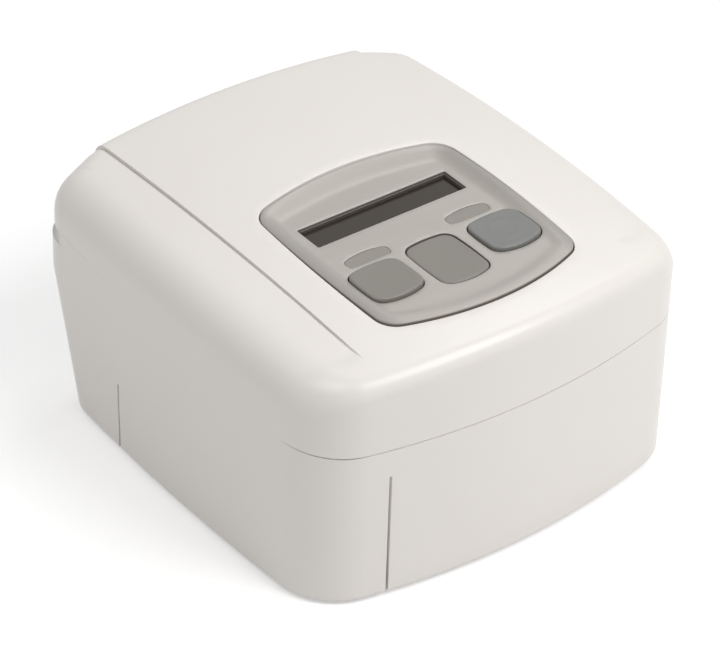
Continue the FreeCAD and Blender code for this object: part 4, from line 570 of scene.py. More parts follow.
class CaseSettings(bpy.types.PropertyGroup):
    """Sizes of the case that a user would change."""

    brow_round: length("Brow Rounding", "Radius of the front top edge", 6.0, 3.0, 9.0)
    side_round: length("Side Rounding", "Radius of the side top edges", 13.7, 8.0, 14.0)
    panel_round: length("Rear Rounding", "Radius of the raised middle's rear edge", 7.2, 4.0, 9.0)
    shoulder_drop: length("Shoulder Drop", "Height of the step beside the raised middle",
                          0.62, 0.2, 1.2)
    groove_depth: length("Groove Depth", "Depth of the groove at the step's foot",
                         0.6, 0.0, 1.2)


class KeypadSettings(bpy.types.PropertyGroup):
    """Sizes of the keypad that a user would change."""

    key_rise: length("Key Rise", "How far the outer keys stand above the plate", 1.3, 0.4, 1.4)
    key_edge: length("Key Edge", "Rounding of a key's top edge", 0.7, 0.3, 1.0)


class BlowerSettings(bpy.types.PropertyGroup):
    """Counts and sizes of the repeated pieces inside."""

    blade_count: bpy.props.IntProperty(
        name="Blades", description="Blades of the blower wheel", default=11, min=5, max=19)
    blade_thick: length("Blade Thickness", "Thickness of a blade", 1.2, 0.6, 2.0)
    coil_turns: bpy.props.IntProperty(
        name="Coil Turns", description="Wires that show on each winding", default=14, min=6, max=24)
    hose_ribs: bpy.props.IntProperty(
        name="Hose Ribs", description="Ribs of the inner hose", default=8, min=3, max=12)


class FinishSettings(bpy.types.PropertyGroup):
    """Colours that a user would change, and the shades that each drifts to."""

    case_colour: tone("Case", "Colour of both case halves", "#DFDAD5")
    case_drift: tone("Case Drift", "Lighter shade in the case's colour", "#E2DED8")
    plate_colour: tone("Keypad Plate", "Colour of the keypad plate", "#A29D96")
    plate_drift: tone("Keypad Plate Drift", "Lighter shade in the plate's colour", "#ABA69F")
    key_colour: tone("Keys", "Colour of the left and the middle key", "#78746D")
    key_drift: tone("Keys Drift", "Lighter shade in the keys' colour", "#7D7972")
    right_key_colour: tone("Right Key", "Colour of the right key", "#6F706D")
    right_key_drift: tone("Right Key Drift", "Lighter shade in the right key's colour", "#757673")


# ---------------------------------------------------------------- the case

CASE_WIDTH, FOOT_WIDTH, FOOT_DEPTH = 166.0, 165.4, 164.0
REAR_LIP = 1.6  # how far the lower half reaches past the upper one at the rear
CASE_BOWS = (12.8, 4.7, 3.7)  # of the front, the rear and the sides
CASE_CORNERS = (24.4, 14.4)  # radii at the front and at the rear
PLATE = {"width": 85.0, "depth": 88.3, "bows": (9.8, 6.3, 2.2), "corners": (9.0, 9.0),
         "front": 17.6}
PLATE_PLAN = bowed_arcs(**PLATE)
PLATE_GAP = 0.35
OPENING_EDGE, EDGE_TURN = 0.5, math.pi / 6  # the well's rounded mouth and its steps
LEDGE_WIDTH, LEDGE_THICK = 3.5, 2.0
BOSSES = [(x, y) for x in (-70.0, 70.0) for y in (44.0, 138.0)]
BOSS_RADIUS, BOSS_FOOT = 4.5, 20.0
HANGERS = [(x, y) for x in (-37.5, 37.5) for y in (32.0, 95.0)]
HANGER_RADIUS, HANGER_FOOT = 2.4, 80.2
ARC_STEPS = 9
CROWN_HEIGHT, CROWN_Y = 96.4, 125.0  # the highest point of the raised middle
CROWN_LENGTH, CROWN_WIDTH = 2336.0, 1140.0  # twice the radii of its curves
RAMP = [(54.8, 22.3), (61.7, 21.6), (72.6, 25.9), (80.2, 26.5), (90.0, 27.0)]
RAMP_WIDE = 6.0
SINK, SINK_Y = 0.0035, 23.0  # the shoulders sink by this share of the way back from here
BROW_END, BROW_TURN = 16.0, 60.0  # degrees from the front at which its rounding grows
SHOULDER_EXTRA, SHOULDER_REACH = 0.5, 15.0
GROOVE_FADE = 16.0
LINE_START, LINE_STEP = 15.0, 2.0  # where the mesh lines along the step begin
FINE_X, FINE_HALF, FINE_ROWS, FINE_STEP = 68.0, 14.0, (13.0, 33.0), 1.3  # finer patches
GROOVE = [STEP_LINE, STEP_LINE + STEP_WIDE, STEP_LINE + GROOVE_WIDE,
          STEP_LINE + GROOVE_WIDE + STEP_WIDE]


def crown(x, y):
    """The height of the raised middle's surface."""
    return CROWN_HEIGHT - (y - CROWN_Y) ** 2 / CROWN_LENGTH - x * x / CROWN_WIDTH


def ramp_start(across):
    """How far back the brow reaches on the shoulder, at a distance from the middle."""
    for (a, ya), (b, yb) in zip(RAMP, RAMP[1:]):
        if across < b:
            return ya + (yb - ya) * max(0.0, (across - a) / (b - a))
    return RAMP[-1][1]


def case_level(x, y):
    """The height of the top before its edges are rounded."""
    across = abs(x)
    if across < STEP_LINE + STEP_WIDE / 2:
        return crown(x, y)
    share = smooth((y - ramp_start(across) + RAMP_WIDE / 2) / RAMP_WIDE)
    sizes = bpy.context.scene.airway_case
    level = crown(x, y) - share * (sizes.shoulder_drop * MM + SINK * max(0.0, y - SINK_Y))
    if across < STEP_LINE + GROOVE_WIDE + STEP_WIDE / 2:
        level -= smooth((y - ramp_start(across)) / GROOVE_FADE) * sizes.groove_depth * MM
    return level


def rim_radius(x, nx, ny):
    """The rounding of the top edge where the wall faces a given way."""
    sizes = bpy.context.scene.airway_case
    brow, side = sizes.brow_round * MM, sizes.side_round * MM
    if ny > 0.5:
        away = abs(x) - STEP_LINE - STEP_WIDE / 2
        near = sizes.panel_round * MM + (SHOULDER_EXTRA if away > 0 else 0.0)
        return near + (side - near) * smooth((away - GROOVE_WIDE) / SHOULDER_REACH)
    turn = math.degrees(math.atan2(abs(nx), -ny))
    return brow + (side - brow) * smooth((turn - BROW_END) / BROW_TURN)


def parting(y):
    """The height of the sloping line between the case halves."""
    return PARTING_FRONT + (PARTING_REAR - PARTING_FRONT) * y / CASE_DEPTH


def steps(start, end, pitch):
    """Evenly spaced numbers from start to end."""
    count = math.ceil((end - start) / pitch)
    return [start + (end - start) * i / count for i in range(count + 1)]


def top_plan(fixed):
    """The outline of the top; its rear normals beside the steps point straight back."""
    plan = bowed_outline(CASE_WIDTH, CASE_DEPTH, CASE_BOWS, CASE_CORNERS, step=1.5, fixed=fixed)
    near, far = GROOVE[0] - 0.01, GROOVE[-1] + 0.01
    return [(x, y, 0.0, 1.0) if ny > 0.5 and near < abs(x) < far else (x, y, nx, ny)
            for x, y, nx, ny in plan]


def edge_ring(plan, share, thin):
    """The ring at a share of the rounded top edge, on the outside or a thickness inside."""
    points = []
    for x, y, nx, ny in plan:
        radius = rim_radius(x, nx, ny)
        turn, arm = share * math.pi / 2, radius - thin
        inset = radius - arm * math.cos(turn)
        px, py = x - nx * inset, y - ny * inset
        points.append((px, py, case_level(px, py) - radius + arm * math.sin(turn)))
    return points


def under_top(x, y):
    """The height of the top's inner surface."""
    return case_level(x, y) - WALL


def keypad_well():
    """The rings down the keypad's well, around its ledge and back to the inner surface."""
    opening = bowed_outline(step=1.2, **PLATE)
    low = LEDGE_TOP - LEDGE_THICK
    mouth = []
    for i in range(4):
        out, drop = (OPENING_EDGE * (1 - turn(i * EDGE_TURN)) for turn in (math.sin, math.cos))
        edge = [(x, y, z - drop) for x, y, z in ring(opening, -PLATE_GAP - out, case_level)]
        mouth.append(edge)
    return mouth + [ring(opening, -PLATE_GAP, LEDGE_TOP), ring(opening, LEDGE_WIDTH, LEDGE_TOP),
                    ring(opening, LEDGE_WIDTH, low), ring(opening, -WALL, low),
                    ring(opening, -WALL, under_top)]


class AIRWAY_OT_top_housing(bpy.types.Operator):
    """Build the crowned top with its brow, shoulders, keypad well and posts"""

    bl_idname = "airway.top_housing"
    bl_label = "Top Housing"

    def execute(self, context):
        fixed = [side * across for side in (-1, 1) for across in GROOVE]
        plan = top_plan(fixed)
        shares = [i / ARC_STEPS for i in range(ARC_STEPS + 1)]
        crest = edge_ring(plan, 1.0, 0)
        walls = [[(x, y, parting(y) + (top[2] - parting(y)) * part)
                  for (x, y, _, _), top in zip(plan, edge_ring(plan, 0, 0))]
                 for part in (0, 0.33, 0.67)]
        shell = Shell()
        foot, outer = shell.rings(walls + [edge_ring(plan, share, 0) for share in shares])
        inside = ring(plan, WALL, lambda x, y: parting(y))
        inner_foot, inner = shell.rings([inside] + [edge_ring(plan, share, WALL)
                                                    for share in shares])
        shell.strip(inner_foot, foot)
        mouth, seat = shell.rings(keypad_well())
        lines = []
        for across in fixed:
            end = min((p for p in crest if p[1] > PLATE["depth"]),
                      key=lambda p: abs(p[0] - across))
            lines.append([(end[0], y) for y in steps(LINE_START, end[1], LINE_STEP)])
        fine = [((side * FINE_X - FINE_HALF, FINE_ROWS[0]),
                 (side * FINE_X + FINE_HALF, FINE_ROWS[1]), FINE_STEP) for side in (-1, 1)]
        shell.fill(outer, [mouth], case_level, spacing=3.2, lines=lines, extra=fine)
        shell.fill(inner, [seat], under_top, spacing=5.0, lines=lines, up=False)
        for x, y in BOSSES:
            shell.post(x, y, BOSS_RADIUS, BOSS_FOOT, under_top(x, y) - WALL)
        for x, y in HANGERS:
            shell.post(x, y, HANGER_RADIUS, HANGER_FOOT, LEDGE_TOP - LEDGE_THICK / 2)
        shell.piece("top_shell", "case", ["top_housing"], "case_white",
                    [finishes()["case_white"]], sharp=28)
        return {"FINISHED"}


FOOT_PLAN = bowed_arcs(FOOT_WIDTH, FOOT_DEPTH, CASE_BOWS, CASE_CORNERS)
LIP_PLAN = bowed_arcs(CASE_WIDTH, CASE_DEPTH + REAR_LIP, CASE_BOWS, CASE_CORNERS)
LEAN_HEIGHT = 52.0  # the wall leans outwards up to here and is upright above
UNDERSIDE_ROUND = 0.4
OFF_WALL, FACING = 0.3, 0.94  # what counts as lying on the wall, and as facing its way
UNDERSIDE_FACING = -0.1  # the same on the rounded bottom edge


def wall_at(x, y, z):
    """How far a point is from the lower half's outer wall, and the wall's direction there."""
    share = min(1.0, max(0.0, z / LEAN_HEIGHT))
    arcs = [(foot[0].lerp(lip[0], share), *(a + (b - a) * share for a, b in zip(foot[1:], lip[1:])))
            for foot, lip in zip(FOOT_PLAN, LIP_PLAN)]
    spot = Vector((abs(x), y))
    number = nearest_arc(arcs, spot)
    centre, radius = arcs[number][:2]
    away = (spot - centre).normalized()
    growth = LIP_PLAN[number][1] - FOOT_PLAN[number][1]
    growth += away.dot(LIP_PLAN[number][0] - FOOT_PLAN[number][0])
    lean = growth / LEAN_HEIGHT if z < LEAN_HEIGHT - 1e-3 else 0.0
    outward = Vector((math.copysign(away.x, x), away.y, -lean)).normalized()
    return (spot - centre).length - radius, outward


def rounded_under(outward, height):
    """The wall's direction turned down by the rounding of the bottom edge."""
    sink = max(0.0, 1 - max(0.0, height) / UNDERSIDE_ROUND)
    flat = math.sqrt(max(0.0, 1 - sink * sink))
    return Vector((outward.x * flat, outward.y * flat, -sink)).normalized()


def wall_normals(mesh):
    """Gives the corners of the outer wall's faces the direction of the true curved wall."""
    normals = [Vector((0, 0, 0))] * len(mesh.loops)
    points = [v.co * MM + Vector((0, HALF_DEPTH, -FOOT_HEIGHT)) for v in mesh.vertices]
    for polygon in mesh.polygons:
        corners = [points[i] for i in polygon.vertices]
        middle = sum(corners, Vector()) / len(corners)
        off, outward = wall_at(*middle)
        under = max(corner.z for corner in corners) < UNDERSIDE_ROUND + 0.05
        if abs(off) > (UNDERSIDE_ROUND if under else OFF_WALL):
            continue
        if polygon.normal.dot(outward) < (UNDERSIDE_FACING if under else FACING):
            continue
        if under and polygon.normal.z < -0.999:
            continue
        for loop, spot in zip(polygon.loop_indices, corners):
            height = min(spot.z, LEAN_HEIGHT - 0.01) if middle.z < LEAN_HEIGHT else LEAN_HEIGHT
            outward = wall_at(spot.x, spot.y, height)[1]
            normals[loop] = rounded_under(outward, spot.z) if under else outward
    mesh.normals_split_custom_set(normals)


def underside_rim(edge):
    """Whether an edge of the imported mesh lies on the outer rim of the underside."""
    for vert in edge.verts:
        if abs(vert.co.z * MM - FOOT_HEIGHT) > 0.01:
            return False
        if abs(inset_at(FOOT_PLAN, vert.co.x * MM, vert.co.y * MM + HALF_DEPTH)) > 0.05:
            return False
    return True


class AIRWAY_OT_bottom_housing(bpy.types.Operator):
    """Build the lower case half with a smooth outer wall and a soft bottom edge"""

    bl_idname = "airway.bottom_housing"
    bl_label = "Bottom Housing"

    def execute(self, context):
        thing = dressed("bottom_housing", "case", [finishes()["case_white"]],
                        edge=UNDERSIDE_ROUND, sharp=30, segments=3, pick=underside_rim,
                        flatten=0)
        wall_normals(thing.data)
        return {"FINISHED"}


# ---------------------------------------------------------------- the keypad

RIM_RISE, RIM_FALL = 0.9, 0.0165  # the rim above the case, and its loss a millimetre back
RIM_EDGE = 0.35
RIM_ROWS = [0.0, 0.12, 0.35, 0.7, 1.2, 1.8, 2.4, 3.0, 3.6, 4.2]
DISH_INSET, DISH_SLOPE = 7.0, 8.0 / 17.1
DISH_FLOOR, DISH_TILT = 91.9, math.tan(math.radians(1.0))
DISH_BEAD, BEAD_WIDE = 0.12, 1.2  # the low bead around the dish's floor
BLEND = 0.35  # how softly the rim runs into the dish
KEY_CORNER, LAMP_CORNER, WINDOW_CORNER = 4.6, 2.0, 0.5
# Each entry: the middle's x and y, the width, the depth and the bows.
KEYS = {
    "left_key": (-25.2, 46.8, 21.6, 20.6, (2.6, 1.2, 0.6)),
    "middle_key": (0.0, 45.6, 20.8, 26.6, (2.4, 1.2, 0.6)),
    "right_key": (26.0, 47.2, 21.6, 20.6, (2.6, 1.2, 0.6)),
}
LAMPS = {
    "left_indicator_lens": (-21.8, 62.0, 18.0, 6.4, (0.3, 1.6, 0.2)),
    "right_indicator_lens": (22.2, 63.0, 18.0, 6.4, (0.3, 1.6, 0.2)),
}
WINDOW = (0.0, WINDOW_Y, 64.1, 12.3, (0.02, 0.02, 0.02))
WINDOW_GAP = 0.15
KEY_GAP = 0.35
HOLE_EDGE, HOLE_SAG = 0.25, 0.07  # a hole's rounded edge, and its drop part of the way
PLATE_FOOT = LEDGE_TOP + 0.02


def dish_level(y):
    """The height of the plate's sunk middle."""
    return DISH_FLOOR + (y - WINDOW_Y) * DISH_TILT


def plate_top(x, y, inset):
    """The height of the plate at a distance inside its outline."""
    rim = crown(x, y) + RIM_RISE - RIM_FALL * (y - PLATE["front"])
    slope = dish_level(y) + max(0.0, DISH_INSET - inset) * DISH_SLOPE
    slope += DISH_BEAD * math.exp(-((inset - DISH_INSET) / BEAD_WIDE) ** 2)
    return -BLEND * math.log(math.exp(-rim / BLEND) + math.exp(-slope / BLEND))


def plate_surface(x, y):
    """The height of the plate above any point of its plan."""
    return plate_top(x, y, inset_at(PLATE_PLAN, x, y))


def small_plan(entry, corner, step=0.8):
    """The outline of a key, lamp or window, where it lies."""
    x, y, wide, deep, bows = entry
    return bowed_outline(wide, deep, bows, (corner, corner), -deep / 2, step, middle=(x, y))


class AIRWAY_OT_keypad_plate(bpy.types.Operator):
    """Build the dished plate with its rim and its holes"""

    bl_idname = "airway.keypad_plate"
    bl_label = "Keypad Plate"

    def execute(self, context):
        plan = bowed_outline(step=1.0, **PLATE)
        shell = Shell()

        def rim(inset):
            bend = RIM_EDGE - min(inset, RIM_EDGE)
            drop = RIM_EDGE - math.sqrt(RIM_EDGE**2 - bend**2)
            return ring(plan, inset, lambda x, y: plate_top(x, y, inset) - drop)

        foot = shell.add(ring(plan, 0, PLATE_FOOT))
        skirt, inner = shell.rings([rim(inset) for inset in RIM_ROWS])
        # The outer side takes the dark wall finish: painted shade for the gap around the plate.
        shell.strip(foot, skirt, 1)
        tops, feet = [], []
        plans = [(small_plan(entry, KEY_CORNER), -KEY_GAP) for entry in KEYS.values()]
        plans += [(small_plan(entry, LAMP_CORNER), 0.0) for entry in LAMPS.values()]
        plans.append((small_plan(WINDOW, WINDOW_CORNER), 0.0))
        for hole, out in plans:
            top, wall = shell.rings([
                ring(hole, out - HOLE_EDGE, plate_surface),
                ring(hole, out - HOLE_EDGE * 0.3, lambda x, y: plate_surface(x, y) - HOLE_SAG),
                ring(hole, out, lambda x, y: plate_surface(x, y) - HOLE_EDGE)])
            tops.append(top)
            # The holes' walls take the same dark finish: painted shade for the gaps around keys,
            # lamps and window.
            feet.append(shell.strip(wall, shell.add(ring(hole, out, PLATE_FOOT)), 1))
        shell.fill(inner, tops, plate_surface, spacing=1.2)
        shell.fill(foot, feet, PLATE_FOOT, spacing=8.0, up=False)
        paints = finishes()
        shell.piece("keypad_plate_finish", "case", ["keypad_plate"], "keypad_silver",
                    [paints["keypad_silver"], paints["keypad_edge"]], sharp=40)
        return {"FINISHED"}


FLANGE = 1.2  # how far a key's flange reaches out under the plate
FLANGE_LOW, FLANGE_HIGH = LEDGE_TOP - 1.1, LEDGE_TOP - 0.1
KEY_DISH = 0.22
BEAD_RADIUS, BEAD_HALF = 5.2, 0.55


def key_cap(node, entry, rise, finish, bead_high=0.0):
    """A key cap with a rounded edge, a shallow finger dish and a flange under the plate."""
    plan = small_plan(entry, KEY_CORNER)
    edge = bpy.context.scene.airway_keypad.key_edge * MM
    mid_x, mid_y, wide, deep, _ = entry
    top = dish_level(mid_y) + rise

    def level(x, y):
        u, v = (x - mid_x) / wide * 2, (y - mid_y) / deep * 2
        far = math.hypot(x - mid_x, y - mid_y)
        bead = bead_high * math.exp(-((far - BEAD_RADIUS) / BEAD_HALF) ** 2)
        return top - KEY_DISH * max(0.0, 1 - u * u) * max(0.0, 1 - v * v) + bead

    shell = Shell()
    rows = [ring(plan, -FLANGE, FLANGE_LOW), ring(plan, -FLANGE, FLANGE_HIGH),
            ring(plan, 0, FLANGE_HIGH)]
    for i in range(6):
        turn = i * math.pi / 10
        rows.append(ring(plan, edge * (1 - math.cos(turn)), top - edge * (1 - math.sin(turn))))
    foot, crest = shell.rings(rows)
    shell.lid(crest, level, spacing=1.1)
    shell.lid(foot, FLANGE_LOW, spacing=6.0, up=False)
    shell.piece(f"{node}_cap", node, [node], "key_grey", [finish], sharp=38)


class AIRWAY_OT_keys(bpy.types.Operator):
    """Build the three key caps"""

    bl_idname = "airway.keys"
    bl_label = "Keys"

    def execute(self, context):
        rise = context.scene.airway_keypad.key_rise * MM
        paints = finishes()
        key_cap("left_key", KEYS["left_key"], rise, paints["key_grey"])
        key_cap("middle_key", KEYS["middle_key"], -0.1, paints["key_grey"])
        key_cap("right_key", KEYS["right_key"], rise, paints["key_blue"], bead_high=0.12)
        return {"FINISHED"}


LAMP_SUNK, LAMP_TILT = 0.08, 0.01


class AIRWAY_OT_lamps(bpy.types.Operator):
    """Build the two crescent lamp lenses"""

    bl_idname = "airway.lamps"
    bl_label = "Lamp Lenses"

    def execute(self, context):
        for node, entry in LAMPS.items():
            plan = small_plan(entry, LAMP_CORNER, 0.6)
            top = dish_level(entry[1]) - LAMP_SUNK
            shell = Shell()
            foot, crest = shell.rings([ring(plan, 0.01, LEDGE_TOP), ring(plan, 0.01, top - 0.2),
                                       ring(plan, 0.25, top)])
            shell.lid(crest, lambda x, y, mid=entry[1]: top + (y - mid) * LAMP_TILT, spacing=1.2)
            shell.lid(foot, LEDGE_TOP, spacing=6.0, up=False)
            shell.piece(f"{node}_finish", "case", [node], "key_grey", [finishes()["lamp_grey"]])
        return {"FINISHED"}


FRAME_TOP, PANE = 91.2, 90.0  # the heights of the window's frame and of its pane
WINDOW_LIP, WINDOW_FOOT = 1.6, LEDGE_TOP - 0.9


class AIRWAY_OT_display(bpy.types.Operator):
    """Build the smoke window over the display, sunk in its frame"""

    bl_idname = "airway.display"
    bl_label = "Display Window"

    def execute(self, context):
        entry = (*WINDOW[:2], WINDOW[2] - 2 * WINDOW_GAP, WINDOW[3] - 2 * WINDOW_GAP, WINDOW[4])
        plan = small_plan(entry, WINDOW_CORNER - 0.05)
        shell = Shell()
        rows = [ring(plan, -WINDOW_LIP, WINDOW_FOOT), ring(plan, -WINDOW_LIP, LEDGE_TOP),
                ring(plan, 0, LEDGE_TOP), ring(plan, 0, FRAME_TOP - 0.1),
                ring(plan, 0.1, FRAME_TOP), ring(plan, 0.3, FRAME_TOP),
                ring(plan, 0.42, FRAME_TOP - 0.1)]
        foot, lip = shell.rings(rows, 1)
        sunk = shell.add(ring(plan, 0.44, PANE))
        shell.strip(lip, sunk, 1)
        shell.lid(sunk, PANE, spacing=3.0)
        shell.lid(foot, WINDOW_FOOT, spacing=8.0, up=False, mark=1)
        paints = finishes()
        shell.piece("display_window", "case", ["display_lens"], "lens_smoke",
                    [paints["lens_smoke"], paints["lens_frame"]])
        return {"FINISHED"}


# ---------------------------------------------------------------- repeated pieces


def growth_tree(name, sockets):
    """A new tree with geometry in and out and the named inputs."""
    tree = bpy.data.node_groups.new(name, "GeometryNodeTree")
    tree.interface.new_socket("Geometry", in_out="INPUT", socket_type="NodeSocketGeometry")
    for label, kind, value in sockets:
        socket = tree.interface.new_socket(label, in_out="INPUT", socket_type=kind)
        if value is not None:
            socket.default_value = value
    tree.interface.new_socket("Geometry", in_out="OUTPUT", socket_type="NodeSocketGeometry")
    return tree, tree.nodes.new("NodeGroupInput").outputs


def painted_end(tree, geometry, material):
    """Ends a tree: plain geometry with one material."""
    real = add(tree, "GeometryNodeRealizeInstances", None, {"Geometry": geometry}).outputs[0]
    dyed = add(tree, "GeometryNodeSetMaterial", None, {"Geometry": real, "Material": material})
    add(tree, "NodeGroupOutput", None, {"Geometry": dyed.outputs[0]})
    return tree


def ring_tree():
    """Equal pieces around the upright axis, each facing outwards."""
    tree, given = growth_tree("ring_of_pieces", [
        ("Count", "NodeSocketInt", 8), ("First Angle", "NodeSocketFloat", 0.0),
        ("Piece", "NodeSocketObject", None), ("Material", "NodeSocketMaterial", None)])
    points = add(tree, "GeometryNodePoints", {"Position": (0, 0, 0)}, {"Count": given["Count"]})
    number = add(tree, "GeometryNodeInputIndex").outputs[0]
    pitch = add(tree, "ShaderNodeMath", {"operation": "DIVIDE", 0: 2 * math.pi},
                {1: given["Count"]}).outputs[0]
    angle = add(tree, "ShaderNodeMath", {"operation": "MULTIPLY_ADD"},
                {0: number, 1: pitch, 2: given["First Angle"]}).outputs[0]
    turn = add(tree, "ShaderNodeCombineXYZ", None, {"Z": angle}).outputs[0]
    return copies_on(tree, points.outputs[0], given, turn)


def row_tree():
    """Equal pieces in a straight row, centred on the origin."""
    tree, given = growth_tree("row_of_pieces", [
        ("Count", "NodeSocketInt", 4), ("Pitch", "NodeSocketVector", (0.0, 0.001, 0.0)),
        ("Piece", "NodeSocketObject", None), ("Material", "NodeSocketMaterial", None)])
    number = add(tree, "GeometryNodeInputIndex").outputs[0]
    last = add(tree, "ShaderNodeMath", {"operation": "SUBTRACT", 1: 1.0}, {0: given["Count"]})
    half = add(tree, "ShaderNodeMath", {"operation": "MULTIPLY", 1: 0.5}, {0: last.outputs[0]})
    place = add(tree, "ShaderNodeMath", {"operation": "SUBTRACT"},
                {0: number, 1: half.outputs[0]}).outputs[0]
    spot = add(tree, "ShaderNodeVectorMath", {"operation": "SCALE"},
               {"Vector": given["Pitch"], "Scale": place}).outputs[0]
    points = add(tree, "GeometryNodePoints", None, {"Count": given["Count"], "Position": spot})
    return copies_on(tree, points.outputs[0], given)


def placed_tree():
    """One piece on every point of the base, turned as the point says."""
    tree, given = growth_tree("placed_pieces", [
        ("Size", "NodeSocketFloat", 1.0), ("Piece", "NodeSocketObject", None),
        ("Material", "NodeSocketMaterial", None)])
    turn = add(tree, "GeometryNodeInputNamedAttribute",
               {"data_type": "FLOAT_VECTOR", "Name": "facing"}).outputs[0]
    return copies_on(tree, given["Geometry"], given, turn, given["Size"])


def copies_on(tree, points, given, turn=None, size=None):
    """Puts the piece on each point and ends the tree."""
    piece = add(tree, "GeometryNodeObjectInfo", {"transform_space": "ORIGINAL"},
                {"Object": given["Piece"]}).outputs["Geometry"]
    links = {"Points": points, "Instance": piece}
    if turn:
        links["Rotation"] = turn
    if size:
        links["Scale"] = size
    copies = add(tree, "GeometryNodeInstanceOnPoints", None, links).outputs[0]
    return painted_end(tree, copies, given["Material"])


def turned_tree():
    """The base's closed line swept once around the upright axis."""
    tree, given = growth_tree("turned_profile", [
        ("Radius", "NodeSocketFloat", 0.01), ("Steps", "NodeSocketInt", 64),
        ("Material", "NodeSocketMaterial", None)])
    line = add(tree, "GeometryNodeMeshToCurve", None, {"Mesh": given["Geometry"]}).outputs[0]
    path = add(tree, "GeometryNodeCurvePrimitiveCircle", None,
               {"Resolution": given["Steps"], "Radius": given["Radius"]}).outputs[0]
    swept = add(tree, "GeometryNodeCurveToMesh", None, {"Curve": path, "Profile Curve": line})
    return painted_end(tree, swept.outputs[0], given["Material"])


def grown(tree, base, values):
    """The mesh that a tree grows on a base mesh."""
    carrier = bpy.data.objects.new("carrier", base)
    bpy.context.scene.collection.objects.link(carrier)
    modifier = carrier.modifiers.new("growth", "NODES")
    modifier.node_group = tree
    for item in tree.interface.items_tree:
        if item.in_out == "INPUT" and item.name in values:
            modifier[item.identifier] = values[item.name]
    graph = bpy.context.evaluated_depsgraph_get()
    mesh = bpy.data.meshes.new_from_object(carrier.evaluated_get(graph), depsgraph=graph)
    carrier.modifiers.clear()
    bpy.data.objects.remove(carrier)
    if "Piece" in values:
        bpy.data.objects.remove(values["Piece"])
    mesh.materials.clear()
    return mesh


def seed_piece(shell, name):
    """A piece around its own origin that trees make copies of."""
    mesh = bpy.data.meshes.new(name)
    mesh.from_pydata([Vector(point) / MM for point in shell.points], [], shell.faces)
    return bpy.data.objects.new(name, mesh)


def points_base(points, facings=None):
    """A mesh of points in metres, each with the direction that its piece faces."""
    mesh = bpy.data.meshes.new("points")
    mesh.from_pydata([tuple(point) for point in points], [], [])
    if facings:
        faces = mesh.attributes.new("facing", "FLOAT_VECTOR", "POINT")
        for item, facing in zip(faces.data, facings):
            item.vector = facing
    return mesh


def islands(node):
    """The separate bodies of a node, in order of place, as lists of points in metres."""
    built = bmesh.new()
    built.from_mesh(frame["nodes"][node].data)
    bmesh.ops.remove_doubles(built, verts=built.verts, dist=SAME_PLACE)
    left, found = set(built.verts), []
    while left:
        front, group = [left.pop()], []
        while front:
            vert = front.pop()
            group.append(vert.co.copy())
            for edge in vert.link_edges:
                other = edge.other_vert(vert)
                if other in left:
                    left.remove(other)
                    front.append(other)
        found.append(group)
    built.free()
    return sorted(found, key=lambda group: [round(v, 5) for v in box_of(group)[0]])


def box_of(points):
    """The lowest and highest corners of some points."""
    return (Vector([min(p[k] for p in points) for k in range(3)]),
            Vector([max(p[k] for p in points) for k in range(3)]))


def cross_outline(reach, half):
    """A plus sign with slightly rounded inner corners."""
    inner = half * 1.3
    corners = [(reach, -half), (reach, half), (inner, inner)]
    points = []
    for quarter in range(4):
        c, s = math.cos(quarter * math.pi / 2), math.sin(quarter * math.pi / 2)
        points += [(x * c - y * s, x * s + y * c, 0.0, 0.0) for x, y in corners]
    return points


# Shares of a screw's head: the crown above its flat side, the cross and its taper.
HEAD_CROWN, CROSS_REACH, CROSS_HALF, CROSS_TAPER, CROSS_FLOOR = 0.55, 0.52, 0.11, 0.7, 0.35


def screw_piece(head_radius, head_high, shank_radius, length):
    """A pan-head screw with a cross recess, its head's underside at height 0."""
    shell = Shell()
    head, shank = round_outline(0, 0, head_radius, 40), round_outline(0, 0, shank_radius, 40)
    rows = [ring(shank, shank_radius * 0.35, -length), ring(shank, 0, -length + shank_radius * 0.5),
            ring(shank, 0, 0.0), ring(head, 0, 0.0)]
    for i in range(7):
        turn = i * math.pi / 12
        rows.append(ring(head, head_high * HEAD_CROWN * (1 - math.cos(turn)),
                         head_high * (1 - HEAD_CROWN * (1 - math.sin(turn)))))
    foot, crest = shell.rings(rows)
    cross = cross_outline(head_radius * CROSS_REACH, head_radius * CROSS_HALF)
    deep = head_high * CROSS_FLOOR
    mouth, floor = shell.rings([
        ring(cross, 0, head_high),
        [(x * CROSS_TAPER, y * CROSS_TAPER, deep) for x, y, _, _ in cross]])
    shell.fill(crest, [mouth], head_high, spacing=head_radius * 0.3)
    shell.lid(floor, deep, spacing=head_radius * 0.3)
    shell.face(foot[::-1])
    return seed_piece(shell, "screw_seed")


def screw_sizes(points):
    """The place, the way up and the sizes in millimetres of one plain screw."""
    low, high = box_of(points)
    middle = (low + high) / 2

    def away(point):
        return math.hypot(point.x - middle.x, point.y - middle.y)

    widths = [max(away(p) for p in points if abs(p.z - end) < 1e-4) for end in (low.z, high.z)]
    upright = widths[1] > widths[0]
    radius, shank = max(widths), min(widths)
    levels = sorted({round(p.z, 5) for p in points if away(p) > radius * 0.95})
    head = levels[-1] - levels[0]
    spot = (middle.x, middle.y, levels[0] if upright else levels[-1])
    return spot, upright, [v * MM for v in (radius, head, shank, high.z - low.z - head)]


def screws(node, tree):
    """Replaces a node's plain screws with detailed ones in the same places."""
    found = [screw_sizes(points) for points in islands(node)]
    facings = [(0 if upright else math.pi, 0, 0.4 * (i + 1))
               for i, (_, upright, _) in enumerate(found)]
    mesh = grown(tree, points_base([spot for spot, _, _ in found], facings),
                 {"Piece": screw_piece(*found[-1][2]), "Material": finishes()["steel"]})
    handed_in(mesh, f"{node}_set", "case", [node], [finishes()["steel"]], sharp=35)


